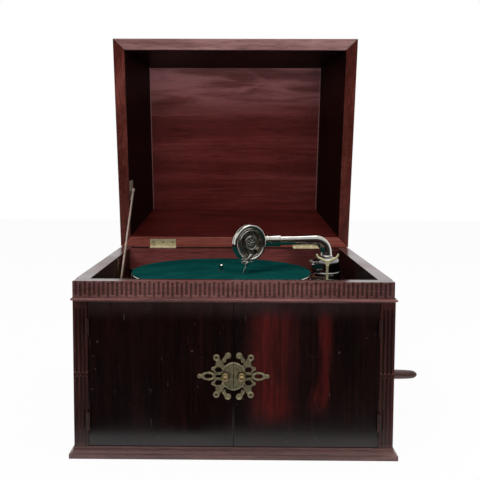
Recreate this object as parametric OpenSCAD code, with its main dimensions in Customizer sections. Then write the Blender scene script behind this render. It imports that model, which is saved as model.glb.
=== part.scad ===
// Table gramophone with an inside horn: wooden case with two front doors, splayed lid on a
// stay, spring motor, 12 inch turntable, tone arm and soundbox. Millimetres; X to the right,
// Y to the back, Z up; the origin is the middle of the case's footprint on the table.
// The model stands as in use: lid open on its stay, doors closed, needle on the turntable.

/* [Case] */
// Width of the case over its sides
case_w = 440; // [420:1:480]
// Depth of the case from front to back
case_d = 390; // [380:1:420]
// Height of the case from the table to its top edge
case_h = 246.6; // [240:0.1:262]
// Thickness of the case walls and rims
wall = 20; // [18:0.5:22]
// Thickness of the floor board
floor_t = 10; // [8:0.5:12]
// How far the base moulding stands out
plinth_out = 6.5; // [4:0.5:9]
// Height of the base moulding
plinth_h = 15.8; // [12:0.1:20]
// Height of the carved frieze
frieze_h = 23; // [18:0.5:26]
// Length of one turn of the carved meander
meander_pitch = 12.57; // [10:0.01:16]
// Depth of the carving
carve = 1.2; // [0.8:0.1:2]
// Height of the bead under the frieze
bead_h = 4.2; // [3:0.1:6]
// How far the bead stands out
bead_out = 2.7; // [1.5:0.1:4]

/* [Doors] */
// Width of each fluted pilaster
pilaster_w = 20.1; // [18:0.1:24]
// Thickness of each door
door_t = 17; // [14:0.5:19]
// Gap all round a door
door_gap = 0.5; // [0.3:0.1:1]
// Width of a half escutcheon
plate_w = 50; // [44:1:56]
// Thickness of the escutcheon
plate_t = 1.8; // [1.2:0.1:2.5]
// Height of the escutcheon's middle above the table
knob_z = 116; // [100:1:130]
// Diameter of a door knob
knob_d = 10; // [8:0.5:14]

/* [Lid] */
// Inner depth of the lid
lid_depth = 80; // [75:1:95]
// How far the lid's inner sides slope in
lid_splay = 35; // [25:1:45]
// Thickness of the lid's top panel
lid_panel_t = 10; // [8:0.5:14]
// Angle that the lid opens to on its stay
lid_angle = 79.7; // [70:0.1:85]
// Length of the stay from its pivot to its lower end
stay_len = 240; // [232:1:260]

/* [Turntable] */
// Diameter of the turntable
platter_d = 300; // [290:1:304]
// Height of the felt's top above the motor board
felt_up = 22; // [20:0.5:25]
// Thickness of the felt
felt_t = 1.5; // [1:0.1:2.5]
// Diameter of the record pin on the spindle
pin_d = 7.2; // [7:0.05:7.3]
// Thickness of the motor board
board_t = 15; // [12:0.5:18]
// Depth of the motor board's top under the case's top edge
board_drop = 39.6; // [37:0.1:42]

/* [Tone arm] */
// Outer diameter of the tone arm's tube
arm_d = 16; // [14:0.5:17]
// Wall of the tone arm's tube
arm_wall = 1.2; // [0.8:0.1:2]
// Height of the tone arm's axis above the motor board
arm_up = 71.5; // [68:0.5:75]
// Diameter of the tone arm's base
base_d = 48; // [44:1:52]
// Diameter of the soundbox
box_d = 60; // [54:1:64]
// Thickness of the soundbox
box_t = 13; // [11:0.5:15]

/* [Crank] */
// Depth of the crank shaft under the motor board's top
crank_drop = 47; // [43:0.5:50]
// Throw of the crank
crank_throw = 101; // [90:1:110]
// Diameter of the crank shaft
crank_d = 10; // [8:0.5:11]
// Length of the crank grip
grip_len = 68; // [50:1:75]
// Diameter of the crank grip
grip_d = 15.5; // [13:0.5:20]

/* [Motor] */
// Teeth on the barrel's gear
barrel_teeth = 80; // [76:2:84]
// Teeth on each pinion
pinion_teeth = 12; // [12:1:14]
// Teeth on the intermediate wheel
wheel_teeth = 70; // [66:2:74]
// Outer diameter of the spring barrel
barrel_d = 70; // [60:1:74]
// Height of the spring barrel
barrel_h = 28; // [22:1:30]
// Turns of the mainspring
spring_turns = 7; // [5:1:8]
// Radius at which a governor weight turns
weight_r = 13; // [11:0.5:15]

/* [Hidden] */
$fn = 48;

eps = 0.02;             // sink of one union member into the next
fit = 0.05;             // radial clearance of a running fit
gap = 0.3;              // clearance between pieces that pass close by
half_w = case_w / 2;
front_y = -case_d / 2;
back_y = case_d / 2;
inner_x = half_w - wall;
inner_y = back_y - wall;
frieze_z = case_h - frieze_h;
bead_z = frieze_z - bead_h;
rail_z = bead_z - 1.2;              // underside of the front rail, above the doors
door_z0 = plinth_h + door_gap;
door_z1 = rail_z - door_gap;
door_x = half_w - pilaster_w - door_gap;
band_z = (plinth_h + rail_z - 1) / 2;   // middle of the plain band across each pilaster
board_z = case_h - board_drop;      // top of the motor board
felt_z = board_z + felt_up;
arm_z = board_z + arm_up;
crank_z = board_z - crank_drop;

// Turntable and motor axes
platter_back = 6.1;                 // from the platter's edge to the back of the case
spindle_x = -21.6;
spindle_y = inner_y - platter_back - platter_d / 2;
crank_y = spindle_y - 18.9;         // the crank's shaft passes in front of the spindle
gear_m = 1;                         // module of the spur gears
train_a = gear_m * (barrel_teeth + pinion_teeth) / 2;
train_b = gear_m * (wheel_teeth + pinion_teeth) / 2;
barrel_x = -80;
barrel_y = crank_y;
to_spindle = [spindle_x - barrel_x, spindle_y - barrel_y];
axes_gap = norm(to_spindle);
along = (train_a * train_a - train_b * train_b + axes_gap * axes_gap) / (2 * axes_gap);
across = sqrt(train_a * train_a - along * along);
inter_x = barrel_x + (to_spindle[0] * along + to_spindle[1] * across) / axes_gap;
inter_y = barrel_y + (to_spindle[1] * along - to_spindle[0] * across) / axes_gap;
plate_top_z = board_z - board_t - 4;            // top of the motor's upper plate
plate_thick = 4;
plate_low_z = board_z - 111;                    // top of the motor's lower plate
wheel_z = plate_low_z + 4;
barrel_gear_z = plate_low_z + 11;
gear_t = 4;
crown_r = 24;                                   // pitch radius of the crown wheel
crown_teeth = 24;
crank_pinion_r = 12;
tooth_h = 1.5;                                  // tooth height above and below the pitch line
worm_wheel_r = 20;
worm_wheel_teeth = 30;
worm_r = 4.5;
worm_starts = 3;
worm_pitch = 2 * PI * worm_wheel_r / worm_wheel_teeth;
worm_lead = worm_pitch * worm_starts;
worm_len = 18;
governor_y = spindle_y + worm_wheel_r + worm_r;
governor_z = plate_low_z + 28.5;
governor_x0 = -48;
governor_x1 = 64;
weight_x = 26;                                  // middle of the weights along the governor
disc_x = 50;
hub_x = disc_x - 6;                             // hub that the governor's springs meet
disc_r = 16;
lever_y = 88;                                   // line of the regulator rod
pad_x = 62;
pad_y = 74;
regulator_x = 17 - inner_x;
regulator_arm = 12;
regulator_y = lever_y + regulator_arm;
rod_z = board_z - 29;
rod_t = 3;
under_rod = rod_z - rod_t / 2 - fit;            // top of the two arms that carry the rod
link_pin_r = 1.5;

// Horn
throat_r = 15;                                  // bore of the throat
throat_wall = 4;
throat_bend = 32;
throat_z = 50;
horn_wall = 6;
mouth_t = 6;
mouth_y = front_y + door_t + 2;                 // front of the mouth board
behind_mouth = mouth_y + mouth_t;
mouth_x = inner_x - 35;
mouth_z0 = 32;
mouth_z1 = board_z - 29;

// Tone arm and soundbox, seen from above
arm_x = inner_x - 42.5;
arm_y = 52;
needle_tip = [13.4, -26, felt_z + gap];
box_x = 24.5;
box_y = -7.3;
box_yaw = 32;                                   // how far the soundbox faces to the right
box_n = [sin(box_yaw), -cos(box_yaw)];
box_e = [cos(box_yaw), sin(box_yaw)];
neck_len = 26;                                  // from the arm's axis to the soundbox's middle
meet = [box_x, box_y] - neck_len * box_n;
arm_vec = meet - [arm_x, arm_y];
arm_len = norm(arm_vec);
arm_dir = atan2(arm_vec[1], arm_vec[0]);
neck_turn = box_yaw - 90 - arm_dir;
neck_tangent = neck_len - box_t / 2;
neck_bend = neck_tangent / tan(neck_turn / 2);  // the bend ends on the soundbox's back
elbow_bend = 22;
arm_r = arm_d / 2;
sleeve_r = arm_r + 1.75;
sleeve_a = 84;                                  // start and end of the sleeve from the arm's pivot
sleeve_b = 106;
base_top = board_z + 42;
needle_r = 0.8;
needle_lean = 26.6;                             // lean of the needle from the upright

// Lid
hinge_y = back_y + 0.5;
hinge_z = case_h + 0.3;
hinge_r = 2.6;
lid_z = case_h + 0.6;                           // underside of the closed lid
lid_top = lid_depth + lid_panel_t + 2;
hinge_x = inner_x - 62;                         // middle of each lid hinge
hinge_len = 50;
hinge_leaf = 15.5;
leaf_t = 1.5;
stay_x = 7 - inner_x;
stay_t = 2.5;
stay_w = 8;
stay_up = 110.1;                                // stay pivot above the lid's hinge, with the lid open
stay_y = hinge_y - 12.5;
stay_z = hinge_z + stay_up;
stay_foot = [stay_y - 142, board_z + 5];        // where the open stay enters its guide
stay_dir = atan2(stay_y - stay_foot[0], stay_z - stay_foot[1]);
slot_y0 = stay_foot[0] - 63;
slot_y1 = stay_foot[0] + 9;

// Door butts
butt_r = 2.4;
butt_len = 25.5;
butt_z = [door_z0 + 35.7, door_z1 - 35.4];      // middle of the lower and upper butts
butt_x = door_x + door_gap / 2;
butt_y = front_y - butt_r - 0.4;

// Crank
arm_bar_t = 6;
crank_arm_x = half_w + 5;
grip_x = crank_arm_x + arm_bar_t + gap;

// Places and sizes that several pieces share
cup_x = inner_x - 19;
cup_y = 8;
cup_r = 14;
rest_x = arm_x - 12.5;
rest_y = -60;
rest_r = 1.9;
brake_x = arm_x - 9.5;
brake_y = -2;
cleat = 14;
corner_x = inner_x - cleat / 2;
corner_y = [behind_mouth + cleat / 2, inner_y - cleat / 2];
board_screws = [for (x = [-corner_x, corner_x], y = corner_y) [x, y]];
motor_screws = [[-108, -40], [-108, 72], [40, 72], [-8, -40]];
bearing_r = 10;
holder_r = 2.6;
holder_z0 = 15;                     // lower end of the needle's holder, from the needle's tip
holder_z1 = 36.5;
screw_z = 19.5;
bar_turn = -8;                      // lean of the stylus bar
rim_t = 5.4;                        // width of the soundbox's rolled rim
ring_r = box_d / 2 - rim_t;
guard_z = 3.6;
guard_r = ring_r - 2.4;
medal_r = 12;
lid_ledge = 4;
pivot_rel = [stay_y - hinge_y, stay_z - hinge_z];
pivot_closed = [hinge_y + pivot_rel[0] * cos(lid_angle) - pivot_rel[1] * sin(lid_angle),
    hinge_z + pivot_rel[0] * sin(lid_angle) + pivot_rel[1] * cos(lid_angle)];
pin_r = 2;
hinge_pin_r = 1.2;
butt_leaf = 14;
butt_pin_r = 1;
knob_x = 11.2;
shoulder_z = felt_z - felt_t - 8;
record_pin_r = pin_d / 2;
seat_r = record_pin_r + 0.8;         // spindle where it passes through the platter
spindle_r = 5;
pinion_to_barrel = atan2(barrel_y - inter_y, barrel_x - inter_x);
wheel_to_spindle = atan2(spindle_y - inter_y, spindle_x - inter_x);
inter_r = 2.5;
arbor_r = 4;
core_r = 8;
drum_wall = 1.5;
drum_z0 = barrel_gear_z + gear_t;
drum_z1 = drum_z0 + barrel_h;
plate_outline_pts = [[-132, -50], [16, -50], [50, 0], [74, 24], [74, 84], [-132, 84]];
pillars = [[-122, -38], [-122, 64], [10, 74], [4, -38]];
pad_r = 2.5;
governor_r = 2;

function polar(r, a) = [r * cos(a), r * sin(a)];
// Outline of a gear with straight-sided teeth, the first one along +X
function gear_outline(teeth, r, up, down) = [
    for (i = [0 : teeth - 1])
        for (p = [[r - down, -0.29], [r + up, -0.12], [r + up, 0.12], [r - down, 0.29]])
            polar(p[0], (i + p[1]) * 360 / teeth)];

module box(lo, hi) {
    translate(lo) cube(hi - lo);
}
module both_sides() {
    children();
    mirror([1, 0, 0]) children();
}
module rod_x(x0, x1, y, z, r) {
    translate([x0, y, z]) rotate([0, 90, 0]) cylinder(h = x1 - x0, r = r);
}
module post(x, y, z0, z1, r) {
    translate([x, y, z0]) cylinder(h = z1 - z0, r = r);
}
module gear(x, y, z, t, teeth, turn) {
    r = gear_m * teeth / 2;
    translate([x, y, z]) rotate([0, 0, turn]) linear_extrude(t)
        polygon(gear_outline(teeth, r, 0.8 * gear_m, 1.1 * gear_m));
}
// Places its children, drawn for the closed lid, where the open lid is
module open_lid() {
    translate([0, hinge_y, hinge_z]) rotate([-lid_angle, 0, 0]) translate([0, -hinge_y, -hinge_z])
        children();
}

// Case

module case_back() {
    color("#5a2a24") difference() {
        box([-inner_x, inner_y, floor_t], [inner_x, back_y, case_h]);
        both_sides() hinge_recess();
    }
}
module case_side() {
    box([inner_x, front_y + wall, 0], [half_w, back_y, rail_z]);
}
module case_sides() {
    color("#4a1d18") {
        mirror([1, 0, 0]) case_side();
        difference() {
            case_side();
            rod_x(inner_x - 1, half_w + 1, crank_y, crank_z, crank_d / 2 + 2.5 + fit);
        }
    }
}
module case_floor() {
    x = half_w - pilaster_w;
    color("#3a201a") box([-x, mouth_y, 0], [x, back_y, floor_t]);
}
module door_sill() {
    x = half_w - pilaster_w;
    color("#3a1512") box([-x, front_y, 0], [x, mouth_y, plinth_h]);
}
module plinth_profile() {
    flat_h = 6.5;
    lip = 0.6;
    polygon(concat([[0, 0], [plinth_out, 0]],
        [for (a = [90 : -15 : 0])
            [lip + (plinth_out - lip) * (1 - cos(a)), plinth_h - (plinth_h - flat_h) * sin(a)]],
        [[0, plinth_h]]));
}
// A length of moulding along the front or a side, mitred at the front corners
module front_length(out) {
    reach = half_w + out;
    intersection() {
        translate([-reach, front_y, 0]) rotate([90, 0, 90]) linear_extrude(2 * reach)
            mirror([1, 0]) children();
        linear_extrude(case_h) polygon([[-reach, front_y - out], [reach, front_y - out],
            [half_w, front_y], [-half_w, front_y]]);
    }
}
module side_length(out) {
    reach = half_w + out;
    intersection() {
        translate([half_w, back_y, 0]) rotate([90, 0, 0]) linear_extrude(case_d + out) children();
        linear_extrude(case_h) polygon([[half_w, front_y], [reach, front_y - out],
            [reach, back_y], [half_w, back_y]]);
    }
}
module base_moulding() {
    color("#43150f") {
        front_length(plinth_out) plinth_profile();
        both_sides() side_length(plinth_out) plinth_profile();
    }
}
module bead_profile() {
    polygon(concat([[0, frieze_z]], [for (a = [0 : 20 : 180])
        [bead_out * sin(a) * (0.7 + 0.3 * sin(a)), bead_z + bead_h / 2 + bead_h / 2 * cos(a)]],
        [[0, bead_z]]));
}
module bead_moulding() {
    color("#7a3a35") {
        front_length(bead_out) bead_profile();
        both_sides() side_length(bead_out) bead_profile();
    }
}
module pilasters() {
    flute_w = 3.4;
    flute_pitch = 5.4;
    mid_x = half_w - pilaster_w / 2;
    tiers = [[plinth_h + 5, band_z - 3], [band_z + 3, bead_z - 11]];
    color("#45150f") both_sides() difference() {
        box([half_w - pilaster_w, front_y, 0], [half_w, front_y + wall, rail_z]);
        for (tier = tiers, i = [-1, 0, 1]) translate([mid_x + i * flute_pitch, front_y, 0])
            post(0, -flute_w / 4, tier[0], tier[1], flute_w / 2);
        for (z = butt_z) box([half_w - pilaster_w - 1, front_y - 1, z - butt_len / 2],
            [half_w - pilaster_w + leaf_t, front_y + butt_leaf, z + butt_len / 2]);
    }
}
// Square meander in relief, from x = 0 to length, standing in the XY plane
module meander(length, height) {
    turns = floor(length / meander_pitch);
    start = (length - turns * meander_pitch) / 2;
    ridge = meander_pitch / 4;
    bar = 2.6;
    for (i = [0 : turns - 1]) translate([start + i * meander_pitch, 0]) {
        square([ridge + eps, height]);
        translate([0, 0]) square([3 * ridge, bar]);
        translate([2 * ridge, 0]) square([ridge, height]);
        if (i < turns - 1) translate([2 * ridge, height - bar]) square([2 * ridge + eps, bar]);
    }
}
module frieze_front() {
    color("#63302b") {
        box([-half_w + carve, front_y + carve, rail_z], [half_w - carve, front_y + wall, case_h]);
        box([-half_w, front_y, rail_z], [half_w, front_y + carve + eps, frieze_z + 1.6]);
        translate([-half_w, front_y + carve + eps, frieze_z + 1.6 - eps]) rotate([90, 0, 0])
            linear_extrude(carve + eps) meander(case_w, frieze_h - 1.6 + eps);
    }
}
module frieze_sides() {
    length = case_d - wall;
    color("#63302b") both_sides() {
        box([inner_x, front_y + wall, rail_z], [half_w - carve, back_y, case_h]);
        box([half_w - carve - eps, front_y + wall, rail_z], [half_w, back_y, frieze_z + 1.6]);
        translate([half_w - carve - eps, front_y + wall, frieze_z + 1.6 - eps]) rotate([90, 0, 90])
            linear_extrude(carve + eps) meander(length, frieze_h - 1.6 + eps);
    }
}

// Motor board and what stands on it

module motor_board() {
    z0 = board_z - board_t;
    cup_hole = cup_r + fit;
    color("#3b1a16") difference() {
        box([-inner_x + gap, behind_mouth + gap, z0], [inner_x - gap, inner_y - gap, board_z]);
        post(spindle_x, spindle_y, z0 - 1, board_z + 1, 10);
        post(arm_x, arm_y, z0 - 1, board_z + 1, throat_r);
        post(cup_x, cup_y, z0 - 1, board_z + 1, cup_hole);
        post(regulator_x, regulator_y, z0 - 1, board_z + 1, 3 + fit);
        post(rest_x, rest_y, z0 - 1, board_z + 1, rest_r + fit);
        post(brake_x, brake_y, z0 - 1, board_z + 1, 2.5 + fit);
        for (p = concat(board_screws, motor_screws)) post(p[0], p[1], z0 - 1, board_z + 1, 2 + fit);
        box([-inner_x - 1, slot_y0, z0 - 1], [stay_x + 4.5, slot_y1, board_z + 1]);
    }
}

module board_cleats() {
    length = 26;
    z1 = board_z - board_t;
    color("#4f3426") difference() {
        both_sides() for (y = corner_y) box([inner_x - length, y - cleat / 2, z1 - cleat],
            [inner_x, y + cleat / 2, z1]);
        for (p = board_screws) post(p[0], p[1], z1 - cleat - 1, z1 + 1, 2 + fit);
    }
}
module mouth_board() {
    x = half_w - pilaster_w;
    color("#3a1512") difference() {
        box([-x, mouth_y, floor_t], [x, behind_mouth, rail_z]);
        box([-mouth_x, mouth_y - 1, mouth_z0], [mouth_x, mouth_y + mouth_t + 1, mouth_z1]);
    }
}
// Board of the horn, from a strip at the mouth to a strip at the throat, each given by two corners in XZ
module horn_board(mouth_a, mouth_b, throat_a, throat_b) {
    horn_end = arm_y - throat_bend;
    hull() {
        box([mouth_a[0], behind_mouth, mouth_a[1]], [mouth_b[0], behind_mouth + 0.1, mouth_b[1]]);
        box([throat_a[0], horn_end - 0.1, throat_a[1]], [throat_b[0], horn_end, throat_b[1]]);
    }
}
module horn() {
    joint = 0.15;
    wide = mouth_x + horn_wall;
    narrow = throat_r + horn_wall;
    low = throat_z - throat_r;
    high = throat_z + throat_r;
    side_z = [mouth_z0 + joint, mouth_z1 - joint];
    end_z = [low + joint, high - joint];
    color("#6b4a35") {
        horn_board([-wide, mouth_z1], [wide, mouth_z1 + horn_wall],
            [arm_x - narrow, high], [arm_x + narrow, high + horn_wall]);
        horn_board([-wide, mouth_z0 - horn_wall], [wide, mouth_z0],
            [arm_x - narrow, low - horn_wall], [arm_x + narrow, low]);
        horn_board([-wide, side_z[0]], [-mouth_x, side_z[1]],
            [arm_x - narrow, end_z[0]], [arm_x - throat_r, end_z[1]]);
        horn_board([mouth_x, side_z[0]], [wide, side_z[1]],
            [arm_x + throat_r, end_z[0]], [arm_x + narrow, end_z[1]]);
    }
}
// Length of tube up the Z axis, and a tube bent about the Z axis from the X axis on
module tube(z0, z1, r, bore) {
    rotate_extrude() translate([bore, z0]) square([r - bore, z1 - z0]);
}
module bent_tube(bend, angle, r, bore) {
    rotate_extrude(angle = angle) translate([bend, 0]) difference() {
        circle(r);
        circle(bore);
    }
}
module horn_throat() {
    r = throat_r + throat_wall;
    z0 = throat_z + throat_bend;
    z1 = board_z - board_t;
    color("#2c2c2e") translate([arm_x, arm_y, 0]) {
        rotate_extrude()
            polygon([[throat_r, z0], [r, z0], [r, z1 - 4], [30, z1 - 4], [30, z1], [throat_r, z1]]);
        translate([0, -throat_bend, z0]) rotate([0, 90, 0]) bent_tube(throat_bend, 90, r, throat_r);
    }
}
module crank_escutcheon() {
    color("#b9a26a") difference() {
        rod_x(half_w, half_w + 2, crank_y, crank_z, 17);
        rod_x(half_w - 1, half_w + 3, crank_y, crank_z, crank_d / 2 + fit);
    }
    color("#b9a26a") difference() {
        rod_x(half_w - 14, half_w + eps, crank_y, crank_z, crank_d / 2 + 2.5);
        rod_x(half_w - 15, half_w + 3, crank_y, crank_z, crank_d / 2 + fit);
    }
}
// Cup for needles, let into the board
module needle_cup() {
    color("#c9c9cc") translate([cup_x, cup_y, 0]) rotate_extrude()
        polygon([[0, board_z - 9], [cup_r, board_z - 9], [cup_r, board_z], [cup_r + 3, board_z],
            [cup_r + 3, board_z + 2.5], [cup_r + 1, board_z + 5], [cup_r - 1, board_z + 5],
            [cup_r - 2, board_z - 6], [0, board_z - 7.5]]);
}
module board_fittings() {
    // Screws that hold the board to its cleats
    color("#b7b7ba") for (p = board_screws) {
        post(p[0], p[1], board_z - board_t - 10, board_z + eps, 2);
        post(p[0], p[1], board_z, board_z + 2, 4.5);
    }
    // Screws that hang the motor from the board
    color("#b7b7ba") for (p = motor_screws) {
        post(p[0], p[1], plate_top_z - plate_thick, board_z + eps, 2);
        post(p[0], p[1], board_z, board_z + 2, 4.5);
    }
    // Brake post
    color("#b7b7ba") {
        post(brake_x, brake_y, board_z - board_t, board_z + eps, 2.5);
        post(brake_x, brake_y, board_z, board_z + 11, 5);
        post(brake_x, brake_y, board_z + 10, board_z + 15.5, 2);
        post(brake_x, brake_y, board_z + 15.3, board_z + 17, 4);
    }
}
module arm_rest() {
    prong = 17;
    crotch = board_z + 46;
    top = board_z + 59.5;
    color("#d8c88a") {
        post(rest_x, rest_y, board_z - board_t, crotch, rest_r);
        post(rest_x, rest_y, board_z, board_z + 2, 7);
        translate([rest_x, rest_y + rest_r, 0]) rotate([90, 0, 0]) linear_extrude(2 * rest_r) {
            polygon([[-3, crotch - 4], [3, crotch - 4], [8, crotch + 1], [prong, top - 3], [prong + 1, top],
                [prong - 2, top], [6.5, crotch + 4.2], [0, crotch + 1.2], [-6.5, crotch + 4.2],
                [2 - prong, top], [-prong - 1, top], [-prong, top - 3], [-8, crotch + 1]]);
        }
    }
}

module tone_arm_base() {
    r = base_d / 2;
    neck = bearing_r + 3;
    color("#77767a") translate([arm_x, arm_y, 0]) rotate_extrude()
        polygon(concat([[bearing_r + fit, board_z], [r + 7, board_z], [r + 7, board_z + 2.5],
            [r + 4, board_z + 4.5], [r + 1, board_z + 5.5], [r + 1, board_z + 12], [r + 2.5, board_z + 13],
            [r + 2.5, board_z + 16], [r, board_z + 17]],
            [for (a = [0 : 15 : 75]) [neck + (r - neck) * cos(a), base_top - 12 + 12 * sin(a)]],
            [[bearing_r + 2.5, base_top], [bearing_r + fit, base_top]]));
}

module in_arm_frame() {
    translate([arm_x, arm_y, arm_z]) rotate([0, 0, arm_dir]) children();
}
module tone_arm() {
    bore = arm_r - arm_wall;
    collar_z = base_top + gap - arm_z;
    color("#b4b2b0") in_arm_frame() {
        rotate_extrude() polygon([[bore, board_z + 3 - arm_z], [bearing_r, board_z + 3 - arm_z],
            [bearing_r, collar_z], [bearing_r + 1.6, collar_z], [bearing_r + 1.6, collar_z + 1.2],
            [bearing_r + 0.4, collar_z + 2], [arm_r + 0.8, collar_z + 5], [arm_r, -elbow_bend],
            [bore, -elbow_bend]]);
        translate([elbow_bend, 0, -elbow_bend]) rotate([90, 0, 0]) rotate([0, 0, 90])
            bent_tube(elbow_bend, 90, arm_r, bore);
        rotate([0, 90, 0]) tube(elbow_bend, sleeve_b - 2, arm_r, bore);
    }
}
module soundbox_neck() {
    bore = arm_r - arm_wall;
    lap = 0.15;                     // the bend is let into the end of the straight tube
    bend_x = arm_len - neck_tangent;
    color("#b4b2b0") in_arm_frame() {
        rotate([0, 90, 0]) rotate_extrude() polygon([[arm_r + fit, sleeve_a], [sleeve_r + 0.8, sleeve_a],
            [sleeve_r + 0.8, sleeve_a + 2.5], [sleeve_r, sleeve_a + 3.5], [sleeve_r, sleeve_b + 2],
            [arm_r + lap, sleeve_b + 5], [arm_r + lap, bend_x + eps], [bore + lap, bend_x + eps],
            [bore + lap, sleeve_b], [arm_r + fit, sleeve_b]]);
        translate([bend_x, neck_bend, 0]) rotate([0, 0, -90]) bent_tube(neck_bend, neck_turn, arm_r, bore);
    }
}

// Soundbox, drawn flat with its face up and its middle at the origin
module at_soundbox() {
    translate([box_x, box_y, arm_z]) rotate([0, 0, box_yaw]) rotate([90, 0, 0]) children();
}
// Along the needle: its children's Z runs up the needle from the tip
module along_needle() {
    rel = [needle_tip[0] - box_x, needle_tip[1] - box_y];
    translate([rel * box_e, needle_tip[2] - arm_z, rel * box_n]) rotate([0, 0, -needle_lean])
        rotate([-90, 0, 0]) children();
}
module soundbox_shell() {
    r = box_d / 2;
    half = box_t / 2;
    color("#bfc0c2") at_soundbox() rotate_extrude()
        polygon(concat([[arm_r - arm_wall, -half], [r - 1.5, -half], [r, -half + 1.5]],
            [for (a = [0 : 20 : 180]) [r - rim_t / 2, half - rim_t / 2] + polar(rim_t / 2, a)],
            [[ring_r, -half + 2], [arm_r - arm_wall, -half + 2]]));
}
module diaphragm() {
    seat = 2.8;
    color("#8d8a80") at_soundbox() {
        tube(-box_t / 2 + 2, -0.5, ring_r - 0.2, ring_r - seat);
        translate([0, 0, -0.5]) cylinder(h = 0.5, r = ring_r - 0.2);
        tube(0, guard_z, ring_r - 0.2, ring_r - seat);
    }
}
module soundbox_guard() {
    color("#a9a9ab") at_soundbox() difference() {
        union() {
            translate([0, 0, guard_z]) cylinder(h = 1.4, r = ring_r - 0.2);
            translate([0, 0, guard_z]) cylinder(h = 2.6, r = medal_r);
        }
        for (i = [0 : 5]) rotate([0, 0, i * 60 + 2]) translate([0, 0, guard_z - 1])
            rotate_extrude(angle = 36) translate([medal_r + 2, 0]) square([guard_r - medal_r - 4, 4]);
        for (i = [0 : 2]) rotate([0, 0, i * 120 + 36]) translate([0, 0, guard_z - 1])
            rotate_extrude(angle = 108) translate([guard_r, 0]) square([1.4, 4]);
        rotate([0, 0, bar_turn]) translate([-2.6, -guard_r, guard_z - 1]) cube([5.2, guard_r - medal_r, 5]);
    }
}
// Bar from the diaphragm's middle, out under the guard and forward to the needle's holder
module stylus_bar() {
    step_y = medal_r + 8;
    rim_r = box_d / 2 - rim_t / 2;
    rim_turn = -106.4;              // where the holder crosses the rim
    color("#8f8f92") at_soundbox() difference() {
        union() {
            along_needle() translate([0, 0, holder_z0]) cylinder(h = holder_z1 - holder_z0, r = holder_r);
            rotate([0, 0, bar_turn]) translate([-1.2, -step_y - 1, 0.8]) cube([2.4, step_y + 1, 1.6]);
            rotate([0, 0, bar_turn]) translate([-1.2, -step_y - 1, 0.8]) cube([2.4, 3, 9]);
            cylinder(h = 3.2, r = 2);
            for (a = [rim_turn - 18, rim_turn + 22]) rotate([0, 0, a]) {
                translate([rim_r, 0, box_t / 2 + 0.02]) cylinder(h = 2, r = 1.7);
            }
            translate([0, 0, box_t / 2 + 0.6]) rotate([0, 0, rim_turn - 18])
                rotate_extrude(angle = 40) translate([rim_r - 1.2, 0]) square([2.4, 1]);
        }
        along_needle() translate([0, 0, holder_z0 - 1]) cylinder(h = 14, r = needle_r + fit);
        along_needle() translate([0, 0, screw_z]) rotate([0, -90, 0]) cylinder(h = 9, r = 1 + fit);
    }
}
module needle() {
    color("#dcdcdc") at_soundbox() along_needle() {
        cylinder(h = 5, r1 = 0.15, r2 = needle_r);
        translate([0, 0, 5 - eps]) cylinder(h = holder_z0 + 12 - 5, r = needle_r);
    }
}
module needle_screw() {
    color("#c4c4c6") at_soundbox() along_needle() translate([0, 0, screw_z]) rotate([0, -90, 0]) {
        translate([0, 0, needle_r + 0.1]) cylinder(h = 7, r = 1);
        translate([0, 0, 5]) cylinder(h = 2.5, r = 1.9);
        translate([-2.6, -0.7, 7]) cube([5.2, 1.4, 3.4]);
        for (s = [-1, 1]) translate([s * 2.5, 0.7, 9.6]) rotate([90, 0, 0]) cylinder(h = 1.4, r = 1.7);
    }
}
module brake_lever() {
    pad_gap = 0.4;
    pad_dx = spindle_x + platter_d / 2 + pad_gap + 3 - brake_x;
    pad_arm = [pad_dx + 0.5, 10];   // from the post to the pad's root
    handle = 22;
    handle_dir = -110;
    z0 = board_z + 11.2;
    color("#b06a50") difference() {
        union() {
            post(brake_x, brake_y, z0, board_z + 15, 6);
            translate([brake_x, brake_y, z0]) rotate([0, 0, atan2(pad_arm[1], pad_arm[0])])
                translate([0, -3, 0]) cube([norm(pad_arm), 6, 3]);
            translate([brake_x, brake_y, z0]) rotate([0, 0, handle_dir]) translate([0, -3, 0])
                cube([handle, 6, 2.5]);
            post(brake_x + handle * cos(handle_dir), brake_y + handle * sin(handle_dir), z0, board_z + 17, 4);
            box([brake_x + pad_dx - 3, brake_y + 8, z0], [brake_x + pad_dx + 2, brake_y + 15, board_z + 18]);
        }
        post(brake_x, brake_y, board_z + 10, board_z + 20, 2 + fit);
    }
}

// Lid

module lid_profile() {
    foot = wall + lid_splay;
    polygon([[0, 0], [wall, 0], [foot, lid_depth], [foot - lid_ledge, lid_depth],
        [foot - lid_ledge, lid_top], [lid_splay + 3, lid_top], [0, 14]]);
}
module lid_front_rail_closed() {
    t = wall + lid_splay;
    intersection() {
        translate([-half_w, front_y, lid_z]) rotate([90, 0, 90]) linear_extrude(case_w) lid_profile();
        translate([0, 0, lid_z - 1]) linear_extrude(lid_top + 2)
            polygon([[-half_w, front_y], [half_w, front_y], [half_w - t, front_y + t],
                [-half_w + t, front_y + t]]);
    }
}
module lid_side_rail_closed() {
    t = wall + lid_splay;
    intersection() {
        translate([-half_w, back_y, lid_z]) rotate([90, 0, 0]) linear_extrude(case_d) lid_profile();
        translate([0, 0, lid_z - 1]) linear_extrude(lid_top + 2)
            polygon([[-half_w, front_y], [-half_w, back_y], [-half_w + t, back_y - t],
                [-half_w + t, front_y + t]]);
    }
}
module lid_front_rail() {
    color("#6e2c26") open_lid() lid_front_rail_closed();
}
module lid_back_rail() {
    color("#5c1f19") open_lid() difference() {
        mirror([0, 1, 0]) lid_front_rail_closed();
        both_sides() flip_to_lid() hinge_recess();
    }
}
module lid_side_rails() {
    color("#6a2018") open_lid() {
        difference() {
            lid_side_rail_closed();
            on_lid_side() stay_plate();
        }
        mirror([1, 0, 0]) lid_side_rail_closed();
    }
}
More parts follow.
